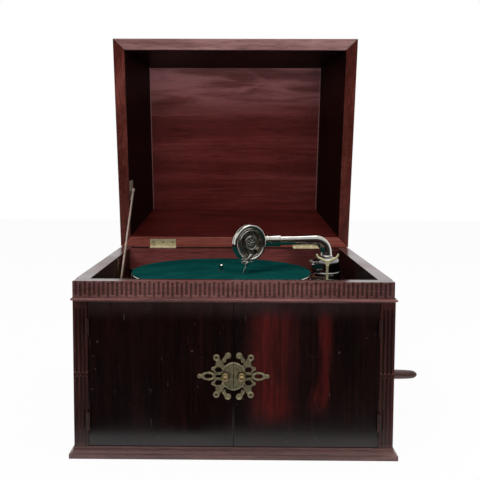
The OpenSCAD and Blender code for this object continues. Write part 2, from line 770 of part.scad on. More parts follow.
module lid_panel() {
    edge = wall + lid_splay - lid_ledge;
    color("#4a1512") open_lid()
        box([-half_w + edge, front_y + edge, lid_z + lid_depth],
            [half_w - edge, back_y - edge, lid_z + lid_depth + lid_panel_t]);
}
module on_lid_side() {
    translate([-inner_x, pivot_closed[0], lid_z]) rotate([0, atan2(lid_splay, lid_depth), 0]) children();
}
module stay_plate() {
    box([-1.5, -19, 1.5], [0, 19, 14]);
}
module stay_bracket() {
    out = stay_x + stay_t / 2;
    color("#a5895a") open_lid() {
        on_lid_side() stay_plate();
        rod_x(-inner_x + 2.6, out + 1.5, pivot_closed[0], pivot_closed[1], pin_r);
        rod_x(out + 0.2, out + 1.5, pivot_closed[0], pivot_closed[1], pin_r + 1.2);
    }
}
module lid_stay() {
    eye_r = 4.6;
    color("#c8ae8a") difference() {
        union() {
            translate([stay_x, stay_y, stay_z]) rotate([-stay_dir, 0, 0])
                box([-stay_t / 2, -stay_w / 2, -stay_len], [stay_t / 2, stay_w / 2, 0]);
            rod_x(stay_x - stay_t / 2, stay_x + stay_t / 2, stay_y, stay_z, eye_r);
            translate([stay_x, stay_y, stay_z]) rotate([-stay_dir, 0, 0])
                rod_x(-3.6, 3.6, 0, 3 - stay_len, 2.5);
        }
        rod_x(stay_x - stay_t, stay_x + stay_t, stay_y, stay_z, pin_r + fit);
    }
}
module stay_guide() {
    slack = 0.7;
    color("#b9a070") {
        difference() {
            box([-inner_x + gap, slot_y0 - 8, board_z], [stay_x + 9, slot_y1 + 8, board_z + 1.5]);
            box([stay_x - stay_t / 2 - slack, slot_y0, board_z - 1],
                [stay_x + stay_t / 2 + slack, slot_y1, board_z + 3]);
        }
        box([-inner_x, slot_y1 - 14, board_z], [-inner_x + 1.5, slot_y1 + 2, case_h - 3]);
    }
}

// Lid hinges and door butts

module hinge_recess() {
    x0 = hinge_x - hinge_len / 2;
    x1 = hinge_x + hinge_len / 2;
    box([x0, back_y - hinge_leaf, case_h - leaf_t], [x1, back_y + 1, case_h + 1]);
    box([x0 - gap, hinge_y - hinge_r - 0.2, case_h - hinge_r], [x1 + gap, back_y + 1, case_h + 1]);
}
module flip_to_lid() {
    translate([0, 0, hinge_z]) mirror([0, 0, 1]) translate([0, 0, -hinge_z]) children();
}
// Leaf with its knuckles; odd picks every second knuckle
module hinge_leaf_part(first) {
    part = hinge_len / 5;
    x0 = hinge_x - hinge_len / 2;
    box([x0, back_y - hinge_leaf, case_h - leaf_t], [x0 + hinge_len, hinge_y - hinge_r - 0.3, case_h]);
    for (i = [first : 2 : 4]) {
        a = x0 + i * part + 0.1;
        b = x0 + (i + 1) * part - 0.1;
        rod_x(a, b, hinge_y, hinge_z, hinge_r);
        box([a, hinge_y - hinge_r - 0.4, case_h - leaf_t], [b, hinge_y, case_h]);
    }
}
module hinge_leaves_case() {
    color("#cdb678") both_sides() union() {
        hinge_leaf_part(0);
        rod_x(hinge_x - hinge_len / 2 + 1, hinge_x + hinge_len / 2 - 1, hinge_y, hinge_z, hinge_pin_r);
    }
}
module hinge_leaves_lid() {
    color("#cdb678") open_lid() both_sides() difference() {
        flip_to_lid() hinge_leaf_part(1);
        rod_x(hinge_x - hinge_len, hinge_x + hinge_len, hinge_y, hinge_z, hinge_pin_r + fit);
    }
}
// Butt on the right side: side = 1 is the pilaster's half, side = -1 the door's
module butt(z, side) {
    third = butt_len / 3;
    z0 = z - butt_len / 2;
    x0 = side > 0 ? half_w - pilaster_w : door_x - leaf_t;
    box([x0, front_y, z0], [x0 + leaf_t, front_y + butt_leaf, z0 + butt_len]);
    for (i = side > 0 ? [0, 2] : [1]) {
        a = z0 + i * third + 0.1;
        b = z0 + (i + 1) * third - 0.1;
        post(butt_x, butt_y, a, b, butt_r);
        box([x0, butt_y, a], [x0 + leaf_t, front_y + eps, b]);
    }
}
module door_butts_case() {
    color("#b08a5a") both_sides() for (z = butt_z) {
        butt(z, 1);
        post(butt_x, butt_y, z - butt_len / 2 + 1, z + butt_len / 2 - 1, butt_pin_r);
    }
}
module door_butts() {
    for (z = butt_z) difference() {
        butt(z, -1);
        post(butt_x, butt_y, z - butt_len, z + butt_len, butt_pin_r + fit);
    }
}
module left_door_butts() {
    color("#b08a5a") mirror([1, 0, 0]) door_butts();
}
module right_door_butts() {
    color("#b08a5a") door_butts();
}

// Doors

// Right door. Its meeting edge is bevelled, so that it swings past the other door.
module door() {
    bevel = 1.2;
    difference() {
        translate([0, 0, door_z0]) linear_extrude(door_z1 - door_z0) polygon([[door_gap / 2, front_y],
            [door_x, front_y], [door_x, front_y + door_t], [door_gap / 2 + bevel, front_y + door_t]]);
        for (z = butt_z) box([door_x - leaf_t, front_y - 1, z - butt_len / 2],
            [door_x + 1, front_y + butt_leaf, z + butt_len / 2]);
    }
}
module left_door() {
    color("#2a0f0e") mirror([1, 0, 0]) door();
}
module right_door() {
    color("#3f0f10") door();
}
module strut(p, q, w) {
    translate(p) rotate(atan2(q[1] - p[1], q[0] - p[0])) translate([0, -w / 2]) square([norm(q - p), w]);
}
// Half of the pierced escutcheon, to the right of the doors' meeting line
module plate_outline() {
    d_x = 16.5;
    d_y = 19.7;
    ear = [23.5, 25.6];
    curl = [7.5, 28];
    tip = [plate_w - 3.4, 0];
    difference() {
        union() {
            polygon([for (a = [-90 : 15 : 90]) [door_gap / 2 + d_x * cos(a), d_y * sin(a)]]);
            for (s = [-1, 1]) {
                translate([curl[0], s * curl[1]]) circle(4.6, $fn = 24);
                strut([9.5, s * 16], [curl[0] + 2.6, s * (curl[1] - 1)], 4);
                translate([ear[0], s * ear[1]]) circle(4.7, $fn = 24);
                strut([12, s * 10], [ear[0], s * ear[1]], 6.5);
                translate([20.5, s * 19]) circle(4.6, $fn = 24);
                strut([20.5, s * 19], [27.5, s * 9.5], 4);
                translate([27.5, s * 9.5]) circle(2.7, $fn = 24);
                strut([14, s * 2.8], [33, s * 4.2], 3);
                strut([33, s * 4.2], [42, 0], 2.8);
                translate([33, s * 4.2]) circle(2.1, $fn = 24);
            }
            translate(tip) circle(3.4, $fn = 24);
            strut([40, 0], tip, 3);
        }
        for (s = [-1, 1]) {
            translate([curl[0] - 0.6, s * curl[1]]) circle(1.5, $fn = 24);
            translate([ear[0], s * ear[1]]) circle(1.3, $fn = 24);
        }
        for (a = [-62, 0, 62]) rotate(a) translate([13.2, -3.4]) square([1.3, 6.8]);
    }
}
module escutcheon_half() {
    translate([0, front_y, knob_z]) rotate([90, 0, 0]) linear_extrude(plate_t) plate_outline();
}
module knob() {
    translate([knob_x, front_y - plate_t, knob_z]) rotate([90, 0, 0]) rotate_extrude()
        polygon(concat([[0, 0], [4.2, 0], [4.2, 1], [2.4, 2.2], [2.2, 5]],
            [for (a = [-50 : 20 : 90]) [knob_d / 2 * cos(a), 9 + knob_d / 2 * sin(a)]]));
}
module left_escutcheon() {
    color("#8a7a50") mirror([1, 0, 0]) escutcheon_half();
    color("#bfa678") mirror([1, 0, 0]) knob();
}
module right_escutcheon() {
    color("#8a7a50") escutcheon_half();
    color("#bfa678") knob();
}

// Turntable and motor

module platter() {
    top = felt_z - felt_t;
    color("#b9babc") translate([spindle_x, spindle_y, 0]) rotate_extrude()
        polygon([[seat_r + fit, top], [platter_d / 2 - 1, top], [platter_d / 2, top - 1],
            [platter_d / 2, top - 11], [platter_d / 2 - 1.5, top - 11], [platter_d / 2 - 1.5, top - 1.5],
            [13, top - 1.5], [13, top - 14], [spindle_r + fit, top - 14], [spindle_r + fit, shoulder_z],
            [seat_r + fit, shoulder_z]]);
}
module felt() {
    color("#0f4a40") difference() {
        post(spindle_x, spindle_y, felt_z - felt_t, felt_z, platter_d / 2 - 1.2);
        post(spindle_x, spindle_y, felt_z - felt_t - 1, felt_z + 1, seat_r + fit);
    }
}
module spindle() {
    pin_top = felt_z + 10;
    color("#c2c2c4") {
        post(spindle_x, spindle_y, plate_low_z - plate_thick, shoulder_z, spindle_r);
        post(spindle_x, spindle_y, shoulder_z - 1, felt_z, seat_r);
        post(spindle_x, spindle_y, felt_z - 1, pin_top - 1, record_pin_r);
        translate([spindle_x, spindle_y, pin_top - 1 - eps])
            cylinder(h = 1, r1 = record_pin_r, r2 = record_pin_r - 1.2);
        gear(spindle_x, spindle_y, wheel_z - 1, gear_t + 1, pinion_teeth,
            wheel_to_spindle + 180 + 180 / pinion_teeth);
        translate([spindle_x, spindle_y, governor_z - 1.25]) rotate([0, 0, 90]) linear_extrude(2.5)
            polygon(gear_outline(worm_wheel_teeth, worm_wheel_r, 1.2, 1.6));
        post(spindle_x, spindle_y, governor_z - 5, governor_z + 5, 8);
    }
}
module intermediate_wheel() {
    color("#b79a55") {
        post(inter_x, inter_y, plate_low_z - plate_thick, plate_top_z, inter_r);
        post(inter_x, inter_y, plate_low_z + gap, barrel_gear_z, 4);
        gear(inter_x, inter_y, wheel_z, 3, wheel_teeth, wheel_to_spindle);
        gear(inter_x, inter_y, barrel_gear_z - 0.5, gear_t + 1, pinion_teeth,
            pinion_to_barrel + 180 / pinion_teeth);
    }
}
module spring_barrel() {
    color("#8c8f94") difference() {
        union() {
            gear(barrel_x, barrel_y, barrel_gear_z, gear_t + eps, barrel_teeth, pinion_to_barrel + 180);
            post(barrel_x, barrel_y, drum_z0, drum_z1, barrel_d / 2);
        }
        post(barrel_x, barrel_y, drum_z0 + drum_wall, drum_z1 - drum_wall, barrel_d / 2 - drum_wall);
        post(barrel_x, barrel_y, barrel_gear_z - 1, drum_z1 + 1, arbor_r + fit);
    }
}
module mainspring() {
    band = 0.8;
    steps = 24;
    r0 = core_r + 0.6;
    r1 = barrel_d / 2 - drum_wall - band - 0.4;
    function spiral(shift) = [for (i = [0 : spring_turns * steps])
        polar(r0 + (r1 - r0) * i / (spring_turns * steps) + shift, i * 360 / steps)];
    outer = spiral(band);
    color("#4c5560") translate([barrel_x, barrel_y, drum_z0 + drum_wall + 1])
        linear_extrude(barrel_h - 2 * drum_wall - 2)
            polygon(concat(spiral(0), [for (i = [len(outer) - 1 : -1 : 0]) outer[i]]));
}
module winding_arbor() {
    crown_top = crank_z - crank_pinion_r - tooth_h - 0.4;
    color("#9b9b9e") {
        post(barrel_x, barrel_y, plate_low_z - plate_thick, plate_top_z, arbor_r);
        post(barrel_x, barrel_y, drum_z0 + drum_wall + gap, drum_z1 - drum_wall - gap, core_r);
        post(barrel_x, barrel_y, crown_top - 4.5, crown_top, crown_r + 4);
        for (i = [0 : crown_teeth - 1]) translate([barrel_x, barrel_y, crown_top - eps])
            rotate([0, 0, (i + 0.5) * 360 / crown_teeth]) translate([crown_r - 3.5, -0.95, 0])
                cube([7, 1.9, 2 * tooth_h + 0.4]);
    }
}
module crank_shaft() {
    pinion_x = barrel_x + crown_r;
    color("#8f8f92") {
        rod_x(pinion_x - 7, crank_arm_x, crank_y, crank_z, crank_d / 2);
        translate([pinion_x - 3.5, crank_y, crank_z]) rotate([0, 90, 0]) linear_extrude(7)
            polygon(gear_outline(pinion_teeth, crank_pinion_r, tooth_h, tooth_h + 0.4));
    }
}
module crank_arm() {
    w = 13;
    color("#8f8f92") {
        rod_x(crank_arm_x, crank_arm_x + arm_bar_t, crank_y, crank_z, 9);
        rod_x(crank_arm_x, crank_arm_x + arm_bar_t, crank_y, crank_z - crank_throw, w / 2);
        box([crank_arm_x, crank_y - w / 2, crank_z - crank_throw],
            [crank_arm_x + arm_bar_t, crank_y + w / 2, crank_z]);
        rod_x(crank_arm_x, grip_x + grip_len, crank_y, crank_z - crank_throw, 3);
    }
}
module crank_grip() {
    r = grip_d / 2;
    tip = grip_len + 5;
    color("#4a2722") translate([grip_x, crank_y, crank_z - crank_throw]) rotate([0, 90, 0]) difference() {
        rotate_extrude() polygon(concat(
            [[0, 0], [r - 2.3, 0], [r - 1.6, 2], [r - 0.5, grip_len / 4], [r, grip_len / 2],
                [r - 0.3, grip_len - 20]],
            [for (a = [0 : 15 : 90]) [(r - 1) * cos(a), tip - 12 + 12 * sin(a)]]));
        translate([0, 0, -1]) cylinder(h = grip_len + 1 + gap, r = 3 + fit);
    }
}
module motor_plates() {
    color("#5d6066") {
        difference() {
            union() {
                for (z = [plate_low_z, plate_top_z]) translate([0, 0, z - plate_thick])
                    linear_extrude(plate_thick) polygon(plate_outline_pts);
                for (p = motor_screws) post(p[0], p[1], plate_top_z - eps, board_z - board_t, 7);
                for (p = pillars) post(p[0], p[1], plate_low_z - eps, plate_top_z - plate_thick + eps, 5);
                box([-4, crank_y - 8, crank_z - 9], [4, crank_y + 8, plate_top_z - plate_thick + eps]);
                for (x = [governor_x0, governor_x1]) box([x - 4, governor_y - 5, governor_z - 6],
                    [x + 4, governor_y + 5, plate_top_z - plate_thick + eps]);
            }
            for (x = [governor_x0, governor_x1])
                rod_x(x - 5, x + 5, governor_y, governor_z, governor_r + fit);
            for (p = motor_screws) post(p[0], p[1], plate_top_z - plate_thick - 1, board_z, 2 + fit);
            post(spindle_x, spindle_y, 0, board_z, spindle_r + fit);
            post(barrel_x, barrel_y, 0, board_z, arbor_r + fit);
            post(inter_x, inter_y, 0, board_z, inter_r + fit);
            post(pad_x, pad_y, crank_z, board_z, pad_r + fit);
            rod_x(-10, 10, crank_y, crank_z, crank_d / 2 + fit);
        }
    }
}
module governor() {
    start = spindle_x - worm_len / 2;
    turn = -30 - 360 * (worm_len / 2) / worm_lead;
    color("#a8a8ab") {
        rod_x(governor_x0 - 3, governor_x1 + 3, governor_y, governor_z, governor_r);
        translate([start, governor_y, governor_z]) rotate([0, 90, 0])
            linear_extrude(worm_len, twist = -360 * worm_len / worm_lead, slices = 24)
                rotate(turn) polygon(gear_outline(worm_starts, worm_r, 1.2, 1.6));
        rod_x(4, 8, governor_y, governor_z, 6);
        rod_x(hub_x, disc_x - 1, governor_y, governor_z, 6);
        rod_x(disc_x - 1, disc_x + 1, governor_y, governor_z, disc_r);
    }
}
module governor_weights() {
    reach = hub_x - 8;
    leaf = norm([reach / 2, weight_r - 6]);
    lean = atan2(weight_r - 6, reach / 2);
    color("#a98f50") translate([0, governor_y, governor_z]) for (i = [0 : 2]) rotate([i * 120, 0, 0]) {
        translate([weight_x - 4, 0, weight_r]) rotate([0, 90, 0]) cylinder(h = 8, r = 5);
        translate([8, -2, 6.02]) rotate([0, -lean, 0]) cube([leaf, 4, 0.5]);
        translate([hub_x, -2, 6.02]) mirror([1, 0, 0]) rotate([0, -lean, 0]) cube([leaf, 4, 0.5]);
    }
}
module pad_lever() {
    pad_tip = [disc_x + 1 + gap, governor_y + 9];
    bar = [pad_tip[0] + gap, pad_tip[0] + gap + 4];
    color("#9a7f4a") {
        post(pad_x, pad_y, governor_z - 5, plate_top_z, pad_r);
        post(pad_x, pad_y, governor_z - 5, governor_z + 5, 4.5);
        post(pad_x, pad_y, rod_z - 7, under_rod, 4.5);
        box([pad_x - 3, pad_y, rod_z - 7], [pad_x + 3, lever_y + 3, under_rod]);
        post(pad_x, lever_y, rod_z - 4, rod_z + 4, link_pin_r);
        box([bar[0], pad_tip[1], governor_z - 3], [bar[1], pad_y, governor_z + 3]);
        box([bar[0], pad_y - 4, governor_z - 3], [pad_x, pad_y + 3, governor_z + 3]);
        box([pad_tip[0], pad_tip[1] - 3, governor_z - 4], [bar[1], pad_tip[1] + 4, governor_z + 4]);
    }
}
module regulator_rod() {
    color("#8f8f92") difference() {
        union() {
            box([regulator_x, lever_y - 2.5, rod_z - rod_t / 2], [pad_x, lever_y + 2.5, rod_z + rod_t / 2]);
            for (x = [regulator_x, pad_x]) post(x, lever_y, rod_z - rod_t / 2, rod_z + rod_t / 2, 5);
        }
        for (x = [regulator_x, pad_x]) post(x, lever_y, rod_z - 3, rod_z + 3, link_pin_r + 0.35);
    }
}
module speed_regulator() {
    color("#d0cfcb") {
        post(regulator_x, regulator_y, rod_z - 7, board_z + 4, 3);
        post(regulator_x, regulator_y, board_z + gap, board_z + 3, 8);
        translate([regulator_x, regulator_y, board_z + 3 - eps]) cylinder(h = 9, r1 = 6, r2 = 5);
        post(regulator_x, regulator_y, rod_z - 7, under_rod, 5);
        box([regulator_x - 3, lever_y - 3, rod_z - 7], [regulator_x + 3, regulator_y, under_rod]);
        post(regulator_x, lever_y, rod_z - 4, rod_z + 4, link_pin_r);
    }
}

case_back();
case_sides();
case_floor();
door_sill();
base_moulding();
pilasters();
bead_moulding();
frieze_front();
frieze_sides();
motor_board();
board_cleats();
mouth_board();
horn();
horn_throat();
crank_escutcheon();
hinge_leaves_case();
door_butts_case();
lid_front_rail();
lid_back_rail();
lid_side_rails();
lid_panel();
hinge_leaves_lid();
stay_bracket();
lid_stay();
stay_guide();
left_door();
left_door_butts();
left_escutcheon();
right_door();
right_door_butts();
right_escutcheon();
platter();
felt();
spindle();
motor_plates();
spring_barrel();
mainspring();
winding_arbor();
crank_shaft();
crank_arm();
crank_grip();
intermediate_wheel();
governor();
governor_weights();
pad_lever();
regulator_rod();
speed_regulator();
tone_arm_base();
tone_arm();
soundbox_neck();
soundbox_shell();
diaphragm();
soundbox_guard();
stylus_bar();
needle();
needle_screw();
arm_rest();
brake_lever();
needle_cup();
board_fittings();
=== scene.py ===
import math

import bpy
from mathutils import Matrix, Vector


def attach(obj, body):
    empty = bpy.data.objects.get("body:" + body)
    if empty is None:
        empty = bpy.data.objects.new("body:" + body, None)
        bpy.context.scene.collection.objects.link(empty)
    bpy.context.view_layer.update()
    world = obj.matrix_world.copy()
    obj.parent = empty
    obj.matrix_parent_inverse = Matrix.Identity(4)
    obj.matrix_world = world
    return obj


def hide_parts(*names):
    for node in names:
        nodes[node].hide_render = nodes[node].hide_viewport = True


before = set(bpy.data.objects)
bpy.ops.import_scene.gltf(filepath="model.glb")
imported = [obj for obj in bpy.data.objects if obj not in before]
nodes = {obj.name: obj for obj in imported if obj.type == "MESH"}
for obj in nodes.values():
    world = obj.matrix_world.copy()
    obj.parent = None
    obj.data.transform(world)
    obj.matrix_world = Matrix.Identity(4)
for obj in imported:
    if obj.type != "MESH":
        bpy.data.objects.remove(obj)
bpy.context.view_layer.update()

mm = 0.001
print("frame loaded:", len(nodes), "nodes")


# camera, floor and light

cameraLook = {
    "place": (0.0015, -1.0984, 0.4018),
    "lens": 50.41,
    "yaw": -0.55,       # degrees to the right
    "pitch": 4.2,       # degrees down
    "roll": 0.2,
    "shiftX": 0.0233,
    "shiftY": -0.0492,
}
lightLook = {
    "key": {"place": (-0.9, -1.3, 1.7), "aim": (0.0, 0.0, 0.25), "size": 1.1, "power": 24.0,
            "mirrored": False},     # kept out of the polish's reflections
    "fill": {"place": (1.3, -0.9, 0.9), "aim": (0.0, 0.0, 0.2), "size": 1.2, "power": 9.0,
             "mirrored": False},
    "top": {"place": (0.2, 0.3, 1.8), "aim": (0.0, 0.0, 0.2), "size": 1.0, "power": 10.0,
            "mirrored": True},
}
worldLook = {
    "ambient": 0.38,                # level that lights the object
    "front": 0.03, "ceiling": 0.80, "back": 1.0,    # levels of the room that polish and metal show
    "rise": (0.20, 0.60),           # where the front turns into the ceiling
    "behind": (-0.35, 0.45),        # and the room into its back wall
}
floorLook = {
    "size": 8.0, "below": 0.0004, "colour": 0.86,
    "white": 0.955,                 # level that the camera sees
    "near": (-0.300, -0.258),       # the polished front reflects white only this close
    "dim": 0.02,                    # and this level farther out
}


def deselect():
    if bpy.context.mode != "OBJECT":
        bpy.ops.object.mode_set(mode="OBJECT")
    bpy.ops.object.select_all(action="DESELECT")


def pick(piece):
    deselect()
    piece.select_set(True)
    bpy.context.view_layer.objects.active = piece


def discard(piece):
    deselect()
    piece.select_set(True)
    bpy.ops.object.delete()


def fixPlace(piece):
    pick(piece)
    bpy.ops.object.transform_apply(location=True, rotation=True, scale=True)
    return piece


def sized(piece, scale):
    piece.scale = scale
    return fixPlace(piece)


def addCamera(look):
    bpy.ops.object.camera_add()
    camera = bpy.context.object
    camera.data.lens = look["lens"]
    camera.data.shift_x = look["shiftX"]
    camera.data.shift_y = look["shiftY"]
    turn = (Matrix.Rotation(math.radians(-look["yaw"]), 4, "Z")
            @ Matrix.Rotation(math.radians(90 - look["pitch"]), 4, "X")
            @ Matrix.Rotation(math.radians(look["roll"]), 4, "Z"))
    camera.matrix_world = Matrix.Translation(look["place"]) @ turn
    bpy.context.scene.camera = camera


def addLights(look):
    for name, lamp in look.items():
        bpy.ops.object.light_add(type="AREA", location=lamp["place"])
        light = bpy.context.object
        light.name = name
        light.data.size = lamp["size"]
        light.visible_glossy = lamp["mirrored"]
        light.data.energy = lamp["power"]
        away = Vector(lamp["aim"]) - Vector(lamp["place"])
        light.rotation_euler = away.to_track_quat("-Z", "Y").to_euler()


# nodes for the materials

def freshMaterial(name):
    material = bpy.data.materials.new(name)
    material.use_nodes = True
    tree = material.node_tree
    for node in list(tree.nodes):
        if node.type != "OUTPUT_MATERIAL":
            tree.nodes.remove(node)
    shader = tree.nodes.new("ShaderNodeBsdfPrincipled")
    output = next(node for node in tree.nodes if node.type == "OUTPUT_MATERIAL")
    tree.links.new(shader.outputs["BSDF"], output.inputs["Surface"])
    return material, tree, shader


def placed(tree, scale, turn=(0, 0, 0)):
    # object coordinates in metres, stretched by scale
    coords = tree.nodes.new("ShaderNodeTexCoord")
    mapping = tree.nodes.new("ShaderNodeMapping")
    mapping.inputs["Scale"].default_value = scale
    mapping.inputs["Rotation"].default_value = turn
    tree.links.new(coords.outputs["Object"], mapping.inputs["Vector"])
    return mapping.outputs["Vector"]


def noise(tree, vector, scale, detail=4.0, rough=0.55, warp=0.0):
    texture = tree.nodes.new("ShaderNodeTexNoise")
    texture.inputs["Scale"].default_value = scale
    texture.inputs["Detail"].default_value = detail
    texture.inputs["Roughness"].default_value = rough
    texture.inputs["Distortion"].default_value = warp
    tree.links.new(vector, texture.inputs["Vector"])
    return texture.outputs["Fac"]


def ramp(tree, value, stops):
    node = tree.nodes.new("ShaderNodeValToRGB")
    table = node.color_ramp
    while len(table.elements) < len(stops):
        table.elements.new(0.5)
    for element, (place, colour) in zip(table.elements, stops):
        if not isinstance(colour, tuple):
            colour = (colour,) * 3
        element.position = place
        element.color = (*colour, 1.0)
    tree.links.new(value, node.inputs["Fac"])
    return node.outputs["Color"]


def spread(tree, value, low, high, toLow=0.0, toHigh=1.0):
    node = tree.nodes.new("ShaderNodeMapRange")
    node.interpolation_type = "SMOOTHSTEP"
    node.inputs["From Min"].default_value = low
    node.inputs["From Max"].default_value = high
    node.inputs["To Min"].default_value = toLow
    node.inputs["To Max"].default_value = toHigh
    tree.links.new(value, node.inputs["Value"])
    return node.outputs["Result"]


def calc(tree, kind, first, second=0.0):
    node = tree.nodes.new("ShaderNodeMath")
    node.operation = kind
    for socket, value in zip(node.inputs, (first, second)):
        if isinstance(value, (int, float)):
            socket.default_value = value
        else:
            tree.links.new(value, socket)
    return node.outputs["Value"]


def product(tree, first, *others):
    for other in others:
        first = calc(tree, "MULTIPLY", first, other)
    return first


def highest(tree, first, *others):
    for other in others:
        first = calc(tree, "MAXIMUM", first, other)
    return first


def blendColours(tree, share, first, second, kind="MIX"):
    node = tree.nodes.new("ShaderNodeMix")
    node.data_type = "RGBA"
    node.blend_type = kind
    factor, colourA, colourB = node.inputs[0], node.inputs[6], node.inputs[7]
    for socket, value in ((factor, share), (colourA, first), (colourB, second)):
        if isinstance(value, (int, float)):
            socket.default_value = value
        elif isinstance(value, tuple):
            socket.default_value = (*value, 1.0)
        else:
            tree.links.new(value, socket)
    return node.outputs[2]


def shaded(tree, colour, shade, share=1.0):
    return blendColours(tree, share, colour, shade, "MULTIPLY")


def coordinate(tree, axis, kind="Object"):
    coords = tree.nodes.new("ShaderNodeTexCoord")
    node = tree.nodes.new("ShaderNodeSeparateXYZ")
    tree.links.new(coords.outputs[kind], node.inputs["Vector"])
    return node.outputs[axis]


def rising(tree, value, place, soft):
    return spread(tree, value, place - soft, place + soft)


def between(tree, mask, atNone, atFull):
    # from one value to the other as the mask goes from 0 to 1
    return spread(tree, mask, 0.0, 1.0, atNone, atFull)


def band(tree, value, low, high, soft):
    # 1 between low and high, fading to 0 over soft on both sides
    down = spread(tree, value, high - soft, high + soft, 1.0, 0.0)
    return product(tree, rising(tree, value, low, soft), down)


def diagonal(tree, first, second):
    total = calc(tree, "ADD", calc(tree, "POWER", first, 2.0), calc(tree, "POWER", second, 2.0))
    return calc(tree, "SQRT", total)


def bumped(tree, shader, height, depth, strength=1.0):
    node = tree.nodes.new("ShaderNodeBump")
    node.inputs["Distance"].default_value = depth
    node.inputs["Strength"].default_value = strength
    tree.links.new(height, node.inputs["Height"])
    tree.links.new(node.outputs["Normal"], shader.inputs["Normal"])


# wood: colours in the grain's dark, middle and light, the way it runs, and its polish

woodLooks = {
    "doorWood": {"dark": (0.0030, 0.0009, 0.0008), "mid": (0.0075, 0.0018, 0.0016),
                 "light": (0.019, 0.0034, 0.0030), "along": "Z", "gloss": 0.18, "scale": 1.0,
                 "shine": 0.5},
    "caseWood": {"dark": (0.010, 0.0024, 0.0020), "mid": (0.030, 0.0080, 0.0062),
                 "light": (0.075, 0.019, 0.014), "along": "Z", "gloss": 0.26, "scale": 1.0,
                 "shine": 0.40},
    "pilasterWood": {"dark": (0.010, 0.0024, 0.0020), "mid": (0.034, 0.0090, 0.0068),
                     "light": (0.080, 0.020, 0.015), "along": "Z", "gloss": 0.28, "scale": 1.0,
                     "shine": 0.40},
    "plinthWood": {"dark": (0.050, 0.020, 0.018), "mid": (0.115, 0.052, 0.047),
                   "light": (0.20, 0.098, 0.088), "along": "X", "gloss": 0.26, "scale": 1.0,
                   "shine": 0.5},
    "railWood": {"dark": (0.026, 0.0065, 0.0058), "mid": (0.076, 0.020, 0.018),
                 "light": (0.16, 0.048, 0.040), "along": "X", "gloss": 0.26, "scale": 1.0,
                 "shine": 0.5},
    "friezeWood": {"dark": (0.080, 0.026, 0.023), "mid": (0.18, 0.069, 0.062),
                   "light": (0.29, 0.125, 0.116), "along": "X", "gloss": 0.26, "scale": 1.2,
                   "shine": 0.5},
    "rimWood": {"dark": (0.036, 0.0050, 0.0036), "mid": (0.105, 0.0165, 0.0105),
                "light": (0.23, 0.052, 0.036), "along": "Z", "gloss": 0.3, "scale": 1.0,
                "shine": 0.45},
    # painted sheen on the front rail's mating face
    "rimTopSheen": {"dark": (0.17, 0.068, 0.064), "mid": (0.34, 0.168, 0.160),
                   "light": (0.46, 0.27, 0.255), "along": "X", "gloss": 0.36, "scale": 1.0,
                   "shine": 0.5},
    "rimLowWood": {"dark": (0.15, 0.032, 0.025), "mid": (0.31, 0.078, 0.058),
                   "light": (0.46, 0.15, 0.12), "along": "X", "gloss": 0.3, "scale": 1.0,
                   "shine": 0.45},
    # painted shade: a dark copy for the lid's slopes and the case's inner walls
    "shadedInnerWood": {"dark": (0.0035, 0.0010, 0.0008), "mid": (0.0085, 0.0017, 0.0013),
                 "light": (0.017, 0.0032, 0.0026), "along": "Z", "gloss": 0.34, "scale": 1.0,
                 "shine": 0.22},
    # painted light: a lighter copy for the lid's slope that faces up
    "litLidFloor": {"dark": (0.022, 0.0022, 0.0018), "mid": (0.052, 0.0055, 0.0045),
                 "light": (0.090, 0.011, 0.009), "along": "X", "gloss": 0.32, "scale": 1.0,
                 "shine": 0.25},
    "lidWood": {"dark": (0.052, 0.0050, 0.0045), "mid": (0.105, 0.0120, 0.0105),
                "light": (0.18, 0.030, 0.027), "along": "X", "gloss": 0.30, "scale": 0.9,
                "shine": 0.4},
    "innerBack": {"dark": (0.095, 0.022, 0.020), "mid": (0.20, 0.048, 0.044),
                  "light": (0.32, 0.105, 0.096), "along": "X", "gloss": 0.3, "scale": 0.8,
                  "shine": 0.3},
    "dullWood": {"dark": (0.020, 0.0075, 0.0065), "mid": (0.042, 0.017, 0.015),
                 "light": (0.075, 0.032, 0.028), "along": "X", "gloss": 0.6, "scale": 1.0,
                 "shine": 0.0},
    "boardWood": {"dark": (0.008, 0.002, 0.002), "mid": (0.024, 0.006, 0.006),
                  "light": (0.05, 0.014, 0.013), "along": "X", "gloss": 0.2, "scale": 1.0,
                  "shine": 0.4},
    "plainWood": {"dark": (0.09, 0.045, 0.025), "mid": (0.19, 0.11, 0.065),
                  "light": (0.30, 0.19, 0.12), "along": "X", "gloss": 0.6, "scale": 1.0,
                  "shine": 0.3},
    "gripWood": {"dark": (0.030, 0.0110, 0.0080), "mid": (0.085, 0.033, 0.024),
                 "light": (0.17, 0.072, 0.054), "along": "X", "gloss": 0.16, "scale": 2.0,
                 "shine": 0.5},
    "beadWood": {"dark": (0.050, 0.014, 0.013), "mid": (0.17, 0.062, 0.056),
                 "light": (0.28, 0.115, 0.105), "along": "X", "gloss": 0.26, "scale": 1.0,
                 "shine": 0.5},
}

grainLook = {
    # stretch across and along the grain, then the texture's scale, detail, roughness and warp
    "figure": (16, 1.6, 1.6, 6, 0.6, 0.9),
    "streak": (170, 5, 1.4, 5, 0.65, 0.25),
    "pore": (900, 36, 1.2, 2, 0.5, 0.0),
    "figureShare": 0.6, "streakShare": 0.4,
    "places": (0.30, 0.50, 0.70),       # where the dark, middle and light lie in the mix
    "poreShade": 0.45, "poreShare": 0.8,
    "cloudShade": 0.62, "cloudShare": 0.7,
    "smoother": 0.05, "rougher": 0.12,  # how far the polish varies
    "poreDeep": 0.12, "poreStrength": 0.35,
}


def stretched(along, across, length):
    return tuple(length if axis == along else across for axis in "XYZ")


